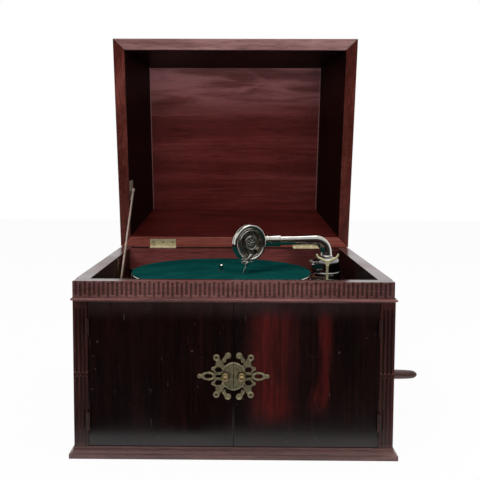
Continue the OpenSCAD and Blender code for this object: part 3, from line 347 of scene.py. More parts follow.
def woodColour(tree, look, grain):
    size = look["scale"]
    layers = []
    for layer in ("figure", "streak", "pore"):
        across, length, *settings = grain[layer]
        vector = placed(tree, stretched(look["along"], across * size, length * size))
        layers.append(noise(tree, vector, *settings))
    figure, streak, pore = layers
    cloud = noise(tree, placed(tree, (5, 5, 5)), 1.2, 3, 0.5, 0.4)
    body = calc(tree, "ADD", product(tree, figure, grain["figureShare"]),
                product(tree, streak, grain["streakShare"]))
    low, middle, high = grain["places"]
    colour = ramp(tree, body, [(low, look["dark"]), (middle, look["mid"]), (high, look["light"])])
    poreShade = ramp(tree, pore, [(0.34, grain["poreShade"]), (0.52, 1.0)])
    colour = shaded(tree, colour, poreShade, grain["poreShare"])
    cloudShade = ramp(tree, cloud, [(0.30, grain["cloudShade"]), (0.62, 1.0)])
    return shaded(tree, colour, cloudShade, grain["cloudShare"]), pore, cloud


scratchLook = {
    "colour": {"doorWood": (0.075, 0.056, 0.052), "railWood": (0.16, 0.085, 0.070),
               "rimWood": (0.16, 0.085, 0.070), "caseWood": (0.16, 0.085, 0.070)},
    "few": (0.755, 0.80),       # higher values leave fewer scratches
    "share": 0.35,
}


def scratched(tree, colour, pale, look):
    # a few short pale scratches and specks from use
    line = noise(tree, placed(tree, (330, 330, 48), (0.25, 0.45, 0.2)), 1.0, 1, 0.4, 0.5)
    speck = noise(tree, placed(tree, (150, 150, 150)), 1.0, 1, 0.4)
    wear = highest(tree, spread(tree, line, *look["few"]), spread(tree, speck, *look["few"]))
    return blendColours(tree, product(tree, wear, look["share"]), colour, pale)


doorFlameAndSheen = {
    "colour": (0.078, 0.0042, 0.0040),
    "wide": (0.040, 0.076, 0.018, 0.055, 0.210),    # from x, to x, softness, from z, to z
    "narrow": (0.113, 0.130, 0.008, 0.070, 0.204),
    "ends": 0.018,                  # softness at the top and bottom of each patch
    "wander": 0.075,                # how far the patches stray sideways
    "fibre": (0.30, 0.62, 0.35, 1.0),
    "fade": (0.34, 0.60, 0.45, 1.0),
    # painted sheen along the top of the doors
    "paintedSheen": (0.026, 0.014, 0.014),
    "sheenRise": (0.190, 0.216),
    "sheenFade": (0.35, 0.6, 0.35, 0.8),
}


def doorGlow(tree, colour, look):
    # red where the light reaches into the finish, with a painted sheen along the top
    x, z = coordinate(tree, "X"), coordinate(tree, "Z")
    drift = noise(tree, placed(tree, (14, 14, 5)), 1.0, 4, 0.6, 0.6)
    fibre = noise(tree, placed(tree, (160, 160, 6)), 1.3, 4, 0.6, 0.3)
    wander = product(tree, calc(tree, "SUBTRACT", drift, 0.5), look["wander"])
    shifted = calc(tree, "ADD", x, wander)
    for fromX, toX, soft, fromZ, toZ in (look["wide"], look["narrow"]):
        mask = product(tree, band(tree, shifted, fromX, toX, soft),
                       band(tree, z, fromZ, toZ, look["ends"]),
                       spread(tree, fibre, *look["fibre"]),
                       spread(tree, drift, *look["fade"]))
        colour = blendColours(tree, mask, colour, look["colour"])
    paintedSheen = product(tree, spread(tree, z, *look["sheenRise"]), spread(tree, drift, *look["sheenFade"]))
    return blendColours(tree, paintedSheen, colour, look["paintedSheen"])


carving = {
    # painted shade in the meander's sunk ground and on the ledge
    "front": 0.1944, "side": 0.2194, "top": (0.2455, 0.2462), "step": 0.0002, "paintedGrooveShade": 0.58,
    "ledge": (-0.1835, -0.1815), "ledgeEnd": (-0.176, -0.174), "ledgeShade": 0.16,
    "ends": (0.10, 0.215), "endShade": 0.62,
}


def carvedShade(tree, colour, look):
    # painted shade: the sunk ground of the meander is darker than its ridges, and so is the ledge;
    # the ends are darker too
    x, y, z = (coordinate(tree, axis) for axis in "XYZ")
    across = calc(tree, "ABSOLUTE", x)
    top = spread(tree, z, *look["top"])
    ridge = highest(tree, rising(tree, product(tree, y, -1.0), look["front"], look["step"]),
                    rising(tree, across, look["side"], look["step"]), top)
    ledge = product(tree, top, spread(tree, y, *look["ledge"]),
                    spread(tree, y, *look["ledgeEnd"], 1.0, 0.0))
    shade = product(tree, between(tree, ridge, look["paintedGrooveShade"], 1.0),
                    between(tree, ledge, 1.0, look["ledgeShade"]),
                    spread(tree, across, *look["ends"], 1.0, look["endShade"]))
    return shaded(tree, colour, shade)


panelField = {
    "side": 0.1650, "high": 0.5930, "edge": (0.0022, 0.0006),
    "pale": (0.30, 0.15, 0.145), "brightLine": 0.5,
    # painted sheen towards the top of the panel
    "topSheen": (0.36, 0.130, 0.140), "rise": (0.485, 0.590), "patches": (0.34, 0.60, 0.22, 0.95),
}


def panelEdge(tree, colour, look):
    # a painted sheen towards the top, with a pale line round the visible field of the panel
    across = calc(tree, "ABSOLUTE", coordinate(tree, "X"))
    z = coordinate(tree, "Z")
    near, far = look["edge"]
    line = highest(tree, spread(tree, across, look["side"] - near, look["side"] - far),
                   spread(tree, z, look["high"] - near, look["high"] - far))
    drift = noise(tree, placed(tree, (7, 7, 46)), 1.0, 4, 0.6, 0.4)
    fade = product(tree, spread(tree, z, *look["rise"]), spread(tree, drift, *look["patches"]))
    colour = blendColours(tree, fade, colour, look["topSheen"])
    return blendColours(tree, product(tree, line, look["brightLine"]), colour, look["pale"])


fluting = {
    "front": 0.1950, "step": 0.0002, "soft": 0.0003,
    # painted shade in the flutes' hollows and under the plain band, painted highlight on its lip
    "hollow": (0.1930, 0.1935), "hollowShade": 0.55,
    "shadow": (0.1158, 0.1180), "shadowShade": 0.5,
    "lip": (0.1196, 0.1209), "lipShare": 0.45, "brightLine": (0.20, 0.075, 0.055),
}


def flutedShade(tree, colour, look):
    # painted shade in the flutes and under the plain band, and a painted highlight on the ridges at
    # the band's lip
    z = coordinate(tree, "Z")
    forward = product(tree, coordinate(tree, "Y"), -1.0)
    front = spread(tree, forward, look["front"] - look["step"], look["front"])
    hollow = product(tree, spread(tree, forward, *look["hollow"]), between(tree, front, 1.0, 0.0))
    lip = product(tree, band(tree, z, *look["lip"], look["soft"]),
                  between(tree, front, 0.0, look["lipShare"]))
    shadow = band(tree, z, *look["shadow"], look["soft"])
    dark = highest(tree, product(tree, hollow, look["hollowShade"]),
                   product(tree, shadow, look["shadowShade"]))
    colour = shaded(tree, colour, between(tree, dark, 1.0, 0.0))
    return blendColours(tree, lip, colour, look["brightLine"])


armShadow = {"across": (0.075, 0.125), "shade": 0.42}


def armShade(tree, colour, look):
    # the inside of the back is darker behind the tone arm
    shade = spread(tree, coordinate(tree, "X"), *look["across"], 1.0, look["shade"])
    return shaded(tree, colour, shade)


woodMarks = {
    "doorWood": (doorGlow, doorFlameAndSheen),
    "friezeWood": (carvedShade, carving),
    "lidWood": (panelEdge, panelField),
    "pilasterWood": (flutedShade, fluting),
    "innerBack": (armShade, armShadow),
}


def woodFinish(name, look, grain):
    material, tree, shader = freshMaterial(name)
    colour, pore, cloud = woodColour(tree, look, grain)
    if name in woodMarks:
        mark, marks = woodMarks[name]
        colour = mark(tree, colour, marks)
    if name in scratchLook["colour"]:
        colour = scratched(tree, colour, scratchLook["colour"][name], scratchLook)
    tree.links.new(colour, shader.inputs["Base Color"])
    gloss = look["gloss"]
    rough = spread(tree, cloud, 0.3, 0.7, gloss - grain["smoother"], gloss + grain["rougher"])
    tree.links.new(rough, shader.inputs["Roughness"])
    shader.inputs["Specular IOR Level"].default_value = look["shine"]
    bumped(tree, shader, pore, grain["poreDeep"] * mm, grain["poreStrength"])
    return material


# metals: colour, roughness and how far it varies, shade and scale of the spots, share of metal

metalLooks = {
    "agedBrass": {"colour": (0.34, 0.27, 0.13), "rough": 0.42, "fine": 0.10,
                  "spots": (0.40, 1.0), "scale": 160, "metal": 1.0},
    "castBrass": {"colour": (0.50, 0.43, 0.26), "rough": 0.40, "fine": 0.10,
                  "spots": (0.45, 1.0), "scale": 190, "metal": 0.8},
    "buttBrass": {"colour": (0.045, 0.017, 0.012), "rough": 0.42, "fine": 0.10,
                  "spots": (0.30, 1.0), "scale": 260, "metal": 0.3},
    "knobBrass": {"colour": (0.36, 0.26, 0.13), "rough": 0.30, "fine": 0.05,
                  "spots": (0.75, 1.0), "scale": 140, "metal": 0.8},
    "brightBrass": {"colour": (0.76, 0.67, 0.43), "rough": 0.40, "fine": 0.06,
                    "spots": (0.70, 1.0), "scale": 150, "metal": 0.55},
    "paleBrass": {"colour": (0.70, 0.66, 0.40), "rough": 0.42, "fine": 0.05,
                  "spots": (0.80, 1.0), "scale": 120, "metal": 0.45},
    "stayBrass": {"colour": (0.42, 0.33, 0.27), "rough": 0.42, "fine": 0.05,
                  "spots": (0.70, 1.0), "scale": 120, "metal": 0.5},
    "copper": {"colour": (0.62, 0.34, 0.25), "rough": 0.32, "fine": 0.05,
               "spots": (0.70, 1.0), "scale": 120, "metal": 1.0},
    "nickel": {"colour": (0.64, 0.61, 0.56), "rough": 0.10, "fine": 0.04,
               "spots": (0.80, 1.0), "scale": 70, "metal": 1.0},
    "darkNickel": {"colour": (0.30, 0.29, 0.28), "rough": 0.16, "fine": 0.05,
                   "spots": (0.70, 1.0), "scale": 60, "metal": 1.0},
    "medalNickel": {"colour": (0.52, 0.50, 0.46), "rough": 0.28, "fine": 0.08,
                    "spots": (0.45, 1.0), "scale": 420, "metal": 1.0},
    "steel": {"colour": (0.42, 0.42, 0.43), "rough": 0.30, "fine": 0.05,
              "spots": (0.70, 1.0), "scale": 140, "metal": 1.0},
    "iron": {"colour": (0.06, 0.06, 0.065), "rough": 0.55, "fine": 0.08,
             "spots": (0.60, 1.0), "scale": 60, "metal": 0.5},
}
smoothest = 0.03        # least roughness of a metal

buttStainAndGlint = {"knuckle": (0.1905, 0.1918), "soft": 0.0002, "low": (0.10, 0.11),
             # painted highlight along the lowest knuckle on the right
             "knuckleGlint": (0.34, 0.29, 0.11)}


def buttShade(tree, colour, look):
    # the butts are stained over, and only the lowest knuckle on the right carries a painted
    # highlight
    knuckleGlint = product(tree, band(tree, coordinate(tree, "X"), *look["knuckle"], look["soft"]),
                   spread(tree, coordinate(tree, "Z"), *look["low"], 1.0, 0.0))
    return blendColours(tree, knuckleGlint, colour, look["knuckleGlint"])


castingDirtAndShade = {
    # painted shade and dirt in the casting's low parts, round the knobs and in the border
    "deep": (0.1954, 0.1968, 0.25, 1.0), "middle": 0.116, "knob": 0.0112,
    "ring": (0.0050, 0.0068, 0.0004), "ringShade": 0.75,
    "plate": (0.0170, 0.0197), "edge": (0.84, 0.90, 0.02), "edgeShade": 0.5,
}


def castingShade(tree, colour, look):
    # painted shade and dirt low on the casting, round the knobs and along the plate's edge
    x, y, z = (coordinate(tree, axis) for axis in "XYZ")
    deep = spread(tree, product(tree, y, -1.0), *look["deep"])
    across = calc(tree, "ABSOLUTE", x)
    rise = calc(tree, "ABSOLUTE", calc(tree, "SUBTRACT", z, look["middle"]))
    fromKnob = calc(tree, "SUBTRACT", across, look["knob"])
    ring = band(tree, diagonal(tree, fromKnob, rise), *look["ring"])
    wide, high = look["plate"]
    oval = diagonal(tree, calc(tree, "DIVIDE", across, wide), calc(tree, "DIVIDE", rise, high))
    edge = band(tree, oval, *look["edge"])
    dirtAndShade = highest(tree, product(tree, ring, look["ringShade"]),
                   product(tree, edge, look["edgeShade"]))
    return shaded(tree, colour, product(tree, deep, between(tree, dirtAndShade, 1.0, 0.0)))


metalMarks = {"castBrass": (castingShade, castingDirtAndShade), "buttBrass": (buttShade, buttStainAndGlint)}


def metalFinish(name, look):
    material, tree, shader = freshMaterial(name)
    vector = placed(tree, (1, 1, 1))
    blot = noise(tree, vector, look["scale"], 5, 0.6, 0.3)
    grain = noise(tree, vector, 900, 3, 0.5)
    dull, bright = look["spots"]
    tint = shaded(tree, look["colour"], ramp(tree, blot, [(0.32, dull), (0.62, bright)]))
    if name in metalMarks:
        mark, marks = metalMarks[name]
        tint = mark(tree, tint, marks)
    tree.links.new(tint, shader.inputs["Base Color"])
    shader.inputs["Metallic"].default_value = look["metal"]
    mix = calc(tree, "ADD", product(tree, blot, 0.65), product(tree, grain, 0.35))
    rough = spread(tree, mix, 0.35, 0.65, look["rough"] + look["fine"],
                   max(look["rough"] - look["fine"], smoothest))
    tree.links.new(rough, shader.inputs["Roughness"])
    bumped(tree, shader, grain, 0.02 * mm, 0.25)
    return material


feltCloth = {"dark": (0.0020, 0.031, 0.030), "mid": (0.0038, 0.056, 0.051),
             "light": (0.0070, 0.080, 0.068), "fuzz": 1400, "patches": 22, "nap": 0.25}


def feltFinish(look):
    material, tree, shader = freshMaterial("greenFelt")
    vector = placed(tree, (1, 1, 1))
    fuzz = noise(tree, vector, look["fuzz"], 3, 0.7)
    patch = noise(tree, vector, look["patches"], 4, 0.6)
    mix = calc(tree, "ADD", product(tree, fuzz, 0.5), product(tree, patch, 0.5))
    colour = ramp(tree, mix, [(0.34, look["dark"]), (0.52, look["mid"]), (0.68, look["light"])])
    tree.links.new(colour, shader.inputs["Base Color"])
    shader.inputs["Roughness"].default_value = 1.0
    shader.inputs["Specular IOR Level"].default_value = 0.0
    bumped(tree, shader, fuzz, look["nap"] * mm, 0.7)
    return material


micaLook = {"dark": (0.05, 0.042, 0.032), "light": (0.13, 0.11, 0.085), "flakes": 160}


def micaFinish(look):
    material, tree, shader = freshMaterial("micaSheet")
    flake = noise(tree, placed(tree, (1, 1, 1)), look["flakes"], 5, 0.6, 1.5)
    colour = ramp(tree, flake, [(0.35, look["dark"]), (0.6, look["light"])])
    tree.links.new(colour, shader.inputs["Base Color"])
    tree.links.new(spread(tree, flake, 0.3, 0.7, 0.15, 0.35), shader.inputs["Roughness"])
    return material


def floorFinish(look):
    material, tree, shader = freshMaterial("paleFloor")
    tooth = noise(tree, placed(tree, (1, 1, 1)), 240, 2, 0.5)
    colour = ramp(tree, tooth, [(0.3, look["colour"] * 0.985), (0.7, look["colour"])])
    tree.links.new(colour, shader.inputs["Base Color"])
    shader.inputs["Roughness"].default_value = 0.9
    shader.inputs["Specular IOR Level"].default_value = 0.1
    glow = tree.nodes.new("ShaderNodeEmission")
    path = tree.nodes.new("ShaderNodeLightPath")
    mix = tree.nodes.new("ShaderNodeMixShader")
    near = spread(tree, coordinate(tree, "Y"), *look["near"], look["dim"], 1.0)
    tree.links.new(highest(tree, path.outputs["Is Camera Ray"], near), glow.inputs["Strength"])
    seen = product(tree, path.outputs["Is Camera Ray"], look["white"])
    mirrored = highest(tree, path.outputs["Is Glossy Ray"], path.outputs["Is Transmission Ray"])
    tree.links.new(highest(tree, seen, mirrored), mix.inputs["Fac"])
    output = next(node for node in tree.nodes if node.type == "OUTPUT_MATERIAL")
    tree.links.new(shader.outputs["BSDF"], mix.inputs[1])
    tree.links.new(glow.outputs["Emission"], mix.inputs[2])
    tree.links.new(mix.outputs["Shader"], output.inputs["Surface"])
    return material


def addFloor(look):
    deselect()
    bpy.ops.mesh.primitive_plane_add(size=look["size"], location=(0, 0, -look["below"]))
    floor = bpy.context.object
    floor.name = "floor"
    floor.data.materials.append(floorFinish(look))


def addWorld(look):
    world = bpy.data.worlds.new("studio")
    bpy.context.scene.world = world
    world.use_nodes = True
    tree = world.node_tree
    back = next(node for node in tree.nodes if node.type == "BACKGROUND")
    y, z = (coordinate(tree, axis, "Generated") for axis in "YZ")
    ceiling = spread(tree, z, *look["rise"], look["front"], look["ceiling"])
    behind = spread(tree, y, *look["behind"])
    room = blendColours(tree, behind, ceiling, (look["back"],) * 3)
    path = tree.nodes.new("ShaderNodeLightPath")
    mirrored = highest(tree, path.outputs["Is Glossy Ray"], path.outputs["Is Transmission Ray"])
    level = blendColours(tree, mirrored, (look["ambient"],) * 3, room)
    level = blendColours(tree, path.outputs["Is Camera Ray"], level, (1.0, 1.0, 1.0))
    tree.links.new(level, back.inputs["Color"])
    back.inputs["Strength"].default_value = 1.0


scene = bpy.context.scene
scene.view_settings.view_transform = "Standard"
addCamera(cameraLook)
addLights(lightLook)
addWorld(worldLook)
addFloor(floorLook)
print("camera, light and floor set")

finishes = {name: woodFinish(name, look, grainLook) for name, look in woodLooks.items()}
finishes.update((name, metalFinish(name, look)) for name, look in metalLooks.items())
finishes["felt"] = feltFinish(feltCloth)
finishes["mica"] = micaFinish(micaLook)

finishOf = {
    "doorWood": ["left_door", "right_door"],
    "caseWood": ["case_back", "case_sides", "pilasters"],
    "railWood": ["case_floor", "door_sill", "base_moulding", "bead_moulding", "mouth_board"],
    "rimWood": ["lid_front_rail", "lid_back_rail", "lid_side_rails"],
    "friezeWood": ["frieze_front", "frieze_sides"],
    "lidWood": ["lid_panel"],
    "boardWood": ["motor_board"],
    "plainWood": ["board_cleats", "horn"],
    "gripWood": ["crank_grip"],
    "agedBrass": ["crank_escutcheon", "left_escutcheon", "right_escutcheon", "stay_guide",
                  "stay_bracket"],
    "buttBrass": ["door_butts_case", "left_door_butts", "right_door_butts"],
    "brightBrass": ["hinge_leaves_case", "hinge_leaves_lid", "lid_stay", "intermediate_wheel",
                    "pad_lever", "governor_weights"],
    "paleBrass": ["arm_rest"],
    "copper": ["brake_lever"],
    "darkNickel": ["tone_arm_base"],
    "nickel": ["tone_arm", "soundbox_neck", "soundbox_shell", "soundbox_guard",
               "stylus_bar", "needle_screw", "needle_cup", "board_fittings", "speed_regulator",
               "spindle", "platter", "needle"],
    "steel": ["winding_arbor", "crank_shaft", "crank_arm", "governor", "regulator_rod",
              "spring_barrel", "mainspring"],
    "iron": ["motor_plates", "horn_throat"],
    "felt": ["felt"],
    "mica": ["diaphragm"],
}
for finish, names in finishOf.items():
    for name in names:
        nodes[name].data.materials.clear()
        nodes[name].data.materials.append(finishes[finish])
print("CAD nodes dressed")


# shaping: steps and places are in millimetres, meshes in metres

weldWithin = 0.000003
nodeWeldWithin = 0.000004
largeFlat = 0.0002      # square metres


def smoothOver(piece, angle=40):
    pick(piece)
    bpy.ops.object.shade_smooth_by_angle(angle=math.radians(angle))
    return piece


def finishMesh(piece, angle=35, fill=True):
    # the last steps on a mesh in edit mode: weld, close, face outwards, smooth
    bpy.ops.mesh.select_all(action="SELECT")
    bpy.ops.mesh.remove_doubles(threshold=weldWithin)
    if fill:
        bpy.ops.mesh.fill_holes(sides=0)
    bpy.ops.mesh.select_all(action="SELECT")
    bpy.ops.mesh.normals_make_consistent(inside=False)
    return smoothOver(piece, angle)


def turned(name, sides, steps, fill=True, angle=35):
    # a shape turned about the Z axis, ring by ring from (radius, height) in millimetres
    deselect()
    radius, height = steps[0]
    bpy.ops.mesh.primitive_circle_add(vertices=sides, radius=radius * mm, fill_type="NOTHING")
    piece = bpy.context.object
    piece.name = name
    bpy.ops.object.mode_set(mode="EDIT")
    bpy.ops.mesh.select_mode(type="VERT")
    bpy.ops.mesh.select_all(action="SELECT")
    bpy.ops.transform.translate(value=(0, 0, height * mm))
    for nextRadius, nextHeight in steps[1:]:
        bpy.ops.mesh.extrude_region_move(
            TRANSFORM_OT_translate={"value": (0, 0, (nextHeight - height) * mm)})
        share = nextRadius / radius
        bpy.ops.transform.resize(value=(share, share, 1), center_override=(0, 0, nextHeight * mm))
        radius, height = nextRadius, nextHeight
    return finishMesh(piece, angle, fill)


def arcSteps(centre, size, start, end, count):
    angles = [math.radians(start + (end - start) * i / count) for i in range(count + 1)]
    return [(centre[0] + size * math.cos(angle), centre[1] + size * math.sin(angle))
            for angle in angles]


def drawn(name, sides, radius, moves, angle=35):
    # a rod drawn out of a ring that first faces up Z: ("go", length, end radius),
    # or ("bend", axis, degrees, bend radius, steps, end radius); returned about the origin
    deselect()
    bpy.ops.mesh.primitive_circle_add(vertices=sides, radius=radius * mm, fill_type="NGON")
    piece = bpy.context.object
    piece.name = name
    bpy.ops.object.mode_set(mode="EDIT")
    bpy.ops.mesh.select_mode(type="VERT")
    bpy.ops.mesh.select_all(action="SELECT")
    place = Vector((0, 0, 0))
    heading = Vector((0, 0, 1))
    size = radius
    for move in moves:
        if move[0] == "go":
            step = heading * move[1] * mm
            place = place + step
            bpy.ops.mesh.extrude_region_move(TRANSFORM_OT_translate={"value": step})
            if move[2] != size:
                bpy.ops.transform.resize(value=(move[2] / size,) * 3, center_override=place)
                size = move[2]
            continue
        axis, degrees, bendRadius, count, endRadius = move[1:]
        axle = Vector([1.0 if letter == axis else 0.0 for letter in "XYZ"])
        turn = math.radians(degrees) / count
        toCentre = axle.cross(heading) * (1 if degrees > 0 else -1)
        centre = place + toCentre * bendRadius * mm
        spin = Matrix.Rotation(turn, 3, axle)
        for i in range(count):
            bpy.ops.mesh.extrude_region_move(TRANSFORM_OT_translate={"value": (0, 0, 0)})
            bpy.ops.transform.rotate(value=-turn, orient_axis=axis, orient_type="GLOBAL",
                                     center_override=centre)
            place = centre + spin @ (place - centre)
            heading = spin @ heading
            nextSize = radius if endRadius is None else size + (endRadius - size) / (count - i)
            bpy.ops.transform.resize(value=(nextSize / size,) * 3, center_override=place)
            size = nextSize
    return finishMesh(piece, angle)


def settle(piece, place=(0, 0, 0), turns=()):
    matrix = Matrix.Translation([value * mm for value in place])
    for axis, degrees in turns:
        matrix = matrix @ Matrix.Rotation(math.radians(degrees), 4, axis)
    pick(piece)
    piece.matrix_world = matrix @ piece.matrix_world
    return fixPlace(piece)


def copied(piece, name, place=(0, 0, 0), turns=()):
    deselect()
    twin = bpy.data.objects.new(name, piece.data.copy())
    scene.collection.objects.link(twin)
    return settle(twin, place, turns)


def joined(name, parts):
    deselect()
    for part in parts:
        part.select_set(True)
    bpy.context.view_layer.objects.active = parts[0]
    bpy.ops.object.join()
    piece = bpy.context.object
    piece.name = name
    return piece


def applied(piece, kind, **settings):
    modifier = piece.modifiers.new("step", kind)
    for key, value in settings.items():
        setattr(modifier, key, value)
    pick(piece)
    bpy.ops.object.modifier_apply(modifier=modifier.name)
    return piece


def smoothed(piece):
    # smooth shading over the curves, with the large flats kept flat
    smoothOver(piece, 20)
    for polygon in piece.data.polygons:
        if polygon.area > largeFlat:
            polygon.use_smooth = False
    return piece


def eased(piece, width, degrees=30):
    # small rounding of a piece's edges
    applied(piece, "BEVEL", width=width * mm, segments=2, limit_method="ANGLE",
            angle_limit=math.radians(degrees), use_clamp_overlap=True)
    return smoothed(piece)


def block(name, low, high, width=0.0):
    deselect()
    centre = [(a + b) / 2 * mm for a, b in zip(low, high)]
    bpy.ops.mesh.primitive_cube_add(size=1, location=centre)
    piece = bpy.context.object
    piece.name = name
    sized(piece, [(b - a) * mm for a, b in zip(low, high)])
    return eased(piece, width) if width else piece


def nodeCopy(node, name, width):
    # a welded copy of a CAD node with its edges eased
    deselect()
    piece = bpy.data.objects.new(name, nodes[node].data.copy())
    scene.collection.objects.link(piece)
    pick(piece)
    bpy.ops.object.mode_set(mode="EDIT")
    bpy.ops.mesh.select_all(action="SELECT")
    bpy.ops.mesh.remove_doubles(threshold=nodeWeldWithin)
    bpy.ops.mesh.dissolve_limited(angle_limit=math.radians(0.6))
    bpy.ops.object.mode_set(mode="OBJECT")
    bpy.ops.mesh.customdata_custom_splitnormals_clear()     # they would bend the reflections
    return eased(piece, width) if width else smoothed(piece)


def cutAway(piece, tool):
    applied(piece, "BOOLEAN", operation="DIFFERENCE", solver="EXACT", object=tool)
    discard(tool)
    return piece


def handOver(piece, finish, body, slot, replaced=()):
    piece.data.materials.clear()
    piece.data.materials.append(finishes[finish])
    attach(piece, body)
    if replaced:
        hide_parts(*replaced)
    return piece


def easeNodes(pieces):
    for name, node, easing, finish, body, slot in pieces:
        handOver(nodeCopy(node, name, easing), finish, body, slot, [node])


def faceFinish(piece, finish, wanted):
    # another finish on the faces that pass a test of their centre and normal
    piece.data.materials.append(finishes[finish])
    last = len(piece.data.materials) - 1
    for polygon in piece.data.polygons:
        if wanted(polygon.center / mm, polygon.normal):
            polygon.material_index = last
    return piece


# screws: one is modelled and the others are its copies

screwLook = {"radius": 2.4, "dome": 0.7, "slotWide": 0.7, "slotDeep": 0.5}


def modelScrew(look):
    r = look["radius"]
    head = turned("screwHead", 24, [(r, 0), (r, 0.15), (r * 0.93, look["dome"] * 0.55),
                                    (r * 0.72, look["dome"] * 0.85), (r * 0.3, look["dome"])])
    slot = block("slot", (-r - 1, -look["slotWide"] / 2, look["dome"] - look["slotDeep"]),
                 (r + 1, look["slotWide"] / 2, look["dome"] + 1))
    return cutAway(head, slot)


masterScrew = modelScrew(screwLook)


def screwAt(name, place, turns, scale=1.0):
    screw = sized(copied(masterScrew, name), (scale,) * 3)
    return settle(screw, place, turns)


# case woodwork: the CAD solids with their arrises eased

woodPieces = [
    # piece, node, easing in mm, finish, body, slot
    ("leftDoorPanel", "left_door", 0.7, "doorWood", "left_door", "mahogany"),
    ("rightDoorPanel", "right_door", 0.7, "doorWood", "right_door", "mahogany"),
    ("lidFrontRail", "lid_front_rail", 1.4, "railWood", "lid", "mahogany"),
    ("lidBackRail", "lid_back_rail", 0.3, "railWood", "lid", "mahogany"),
    ("lidSideRails", "lid_side_rails", 1.0, "railWood", "lid", "mahogany"),
    ("flutedPilasters", "pilasters", 0.35, "pilasterWood", "case", "mahogany"),
    ("plinthMoulding", "base_moulding", 0.6, "plinthWood", "case", "mahogany"),
    ("doorSill", "door_sill", 0.6, "railWood", "case", "mahogany"),
    ("caseSides", "case_sides", 0.8, "caseWood", "case", "mahogany"),
    ("caseBack", "case_back", 0.8, "caseWood", "case", "mahogany"),
    ("friezeFront", "frieze_front", 0.25, "friezeWood", "case", "mahogany"),
    ("friezeSides", "frieze_sides", 0.25, "friezeWood", "case", "mahogany"),
]
easeNodes(woodPieces)

# the open lid shows its mating faces and its splayed inner faces: the front rail's face carries a
# painted sheen, the slopes facing down are a dark copy of the wood in painted shade, and the back
# rail's slope, which faces up, is a lighter copy in painted light

squarely = 0.9          # least share of its normal with which a face looks along an axis
lidHinge = {"axis": (195.5, 246.9), "open": 79.7}     # y and z of the pin, and degrees from closed
lidLook = {
    "half": (220.0, 195.0),
    "mating": {"lidFrontRail": "rimTopSheen", "lidBackRail": "rimLowWood",
               "lidSideRails": "rimWood"},
    "slope": {"lidFrontRail": "shadedInnerWood", "lidBackRail": "litLidFloor", "lidSideRails": "shadedInnerWood"},
}


def closedPlace(point, hinge):
    pivot = Vector((0, *hinge["axis"]))
    return closedNormal(point - pivot, hinge) + pivot


def closedNormal(normal, hinge):
    return Matrix.Rotation(math.radians(hinge["open"]), 3, "X") @ normal


def onMating(point, normal):
    return closedNormal(normal, lidHinge).z < -squarely


def onSlope(point, normal):
    face, centre = closedNormal(normal, lidHinge), closedPlace(point, lidHinge)
    wide, deep = lidLook["half"]
    inwards = face.x * centre.x / wide + face.y * centre.y / deep < -0.12
    return inwards and -squarely < face.z < -0.15


for name in lidLook["mating"]:
    rail = bpy.data.objects[name]
    faceFinish(rail, lidLook["mating"][name], onMating)
    faceFinish(rail, lidLook["slope"][name], onSlope)

backLook = {
    "inner": 186.0, "top": 246.0,
    # a thin batten closes the slit of light between the case back and the lid
    "battenLow": (-218.0, 195.05, 243.6), "battenHigh": (218.0, 199.4, 247.2), "battenEdge": 0.25,
}


def onInnerBack(point, normal):
    return normal.y < -squarely and point.y < backLook["inner"]


def onBackTop(point, normal):
    return normal.z > 0.3 and point.z > backLook["top"]


def onInnerSide(point, normal):
    return normal.x * point.x < 0 and abs(normal.x) > squarely


faceFinish(bpy.data.objects["caseBack"], "innerBack", onInnerBack)
faceFinish(bpy.data.objects["caseBack"], "dullWood", onBackTop)
# the sides' inner faces take the dark copy of the wood, a painted shade
faceFinish(bpy.data.objects["caseSides"], "shadedInnerWood", onInnerSide)
faceFinish(bpy.data.objects["friezeSides"], "shadedInnerWood", onInnerSide)
batten = block("backBatten", backLook["battenLow"], backLook["battenHigh"], backLook["battenEdge"])
handOver(batten, "dullWood", "case", "mahogany")
print("woodwork eased")


# felt on the turntable

feltLook = {"centre": (-21.6, 18.9), "radius": 148.6, "hole": 4.6, "low": 227.5, "top": 229.0}


def layFelt(look):
    hole, rim, top = look["hole"], look["radius"], look["top"] - look["low"]
    steps = [(hole, 0.0), (hole, top - 0.25), (hole + 0.4, top)]
    steps += [(radius, top) for radius in (20, 60, 100, 130, 145)]
    steps += [(rim - 0.6, top), (rim, top - 0.45), (rim, 0.3), (rim - 0.3, 0.0), (80, 0.0),
              (hole, 0.0)]
    felt = turned("feltDisc", 128, steps, False, 50)
    settle(felt, (*look["centre"], look["low"]))
    handOver(felt, "felt", "turntable", "felt", ["felt"])


layFelt(feltLook)
print("felt laid")


# escutcheon on the doors: cast brass, pierced, in two halves

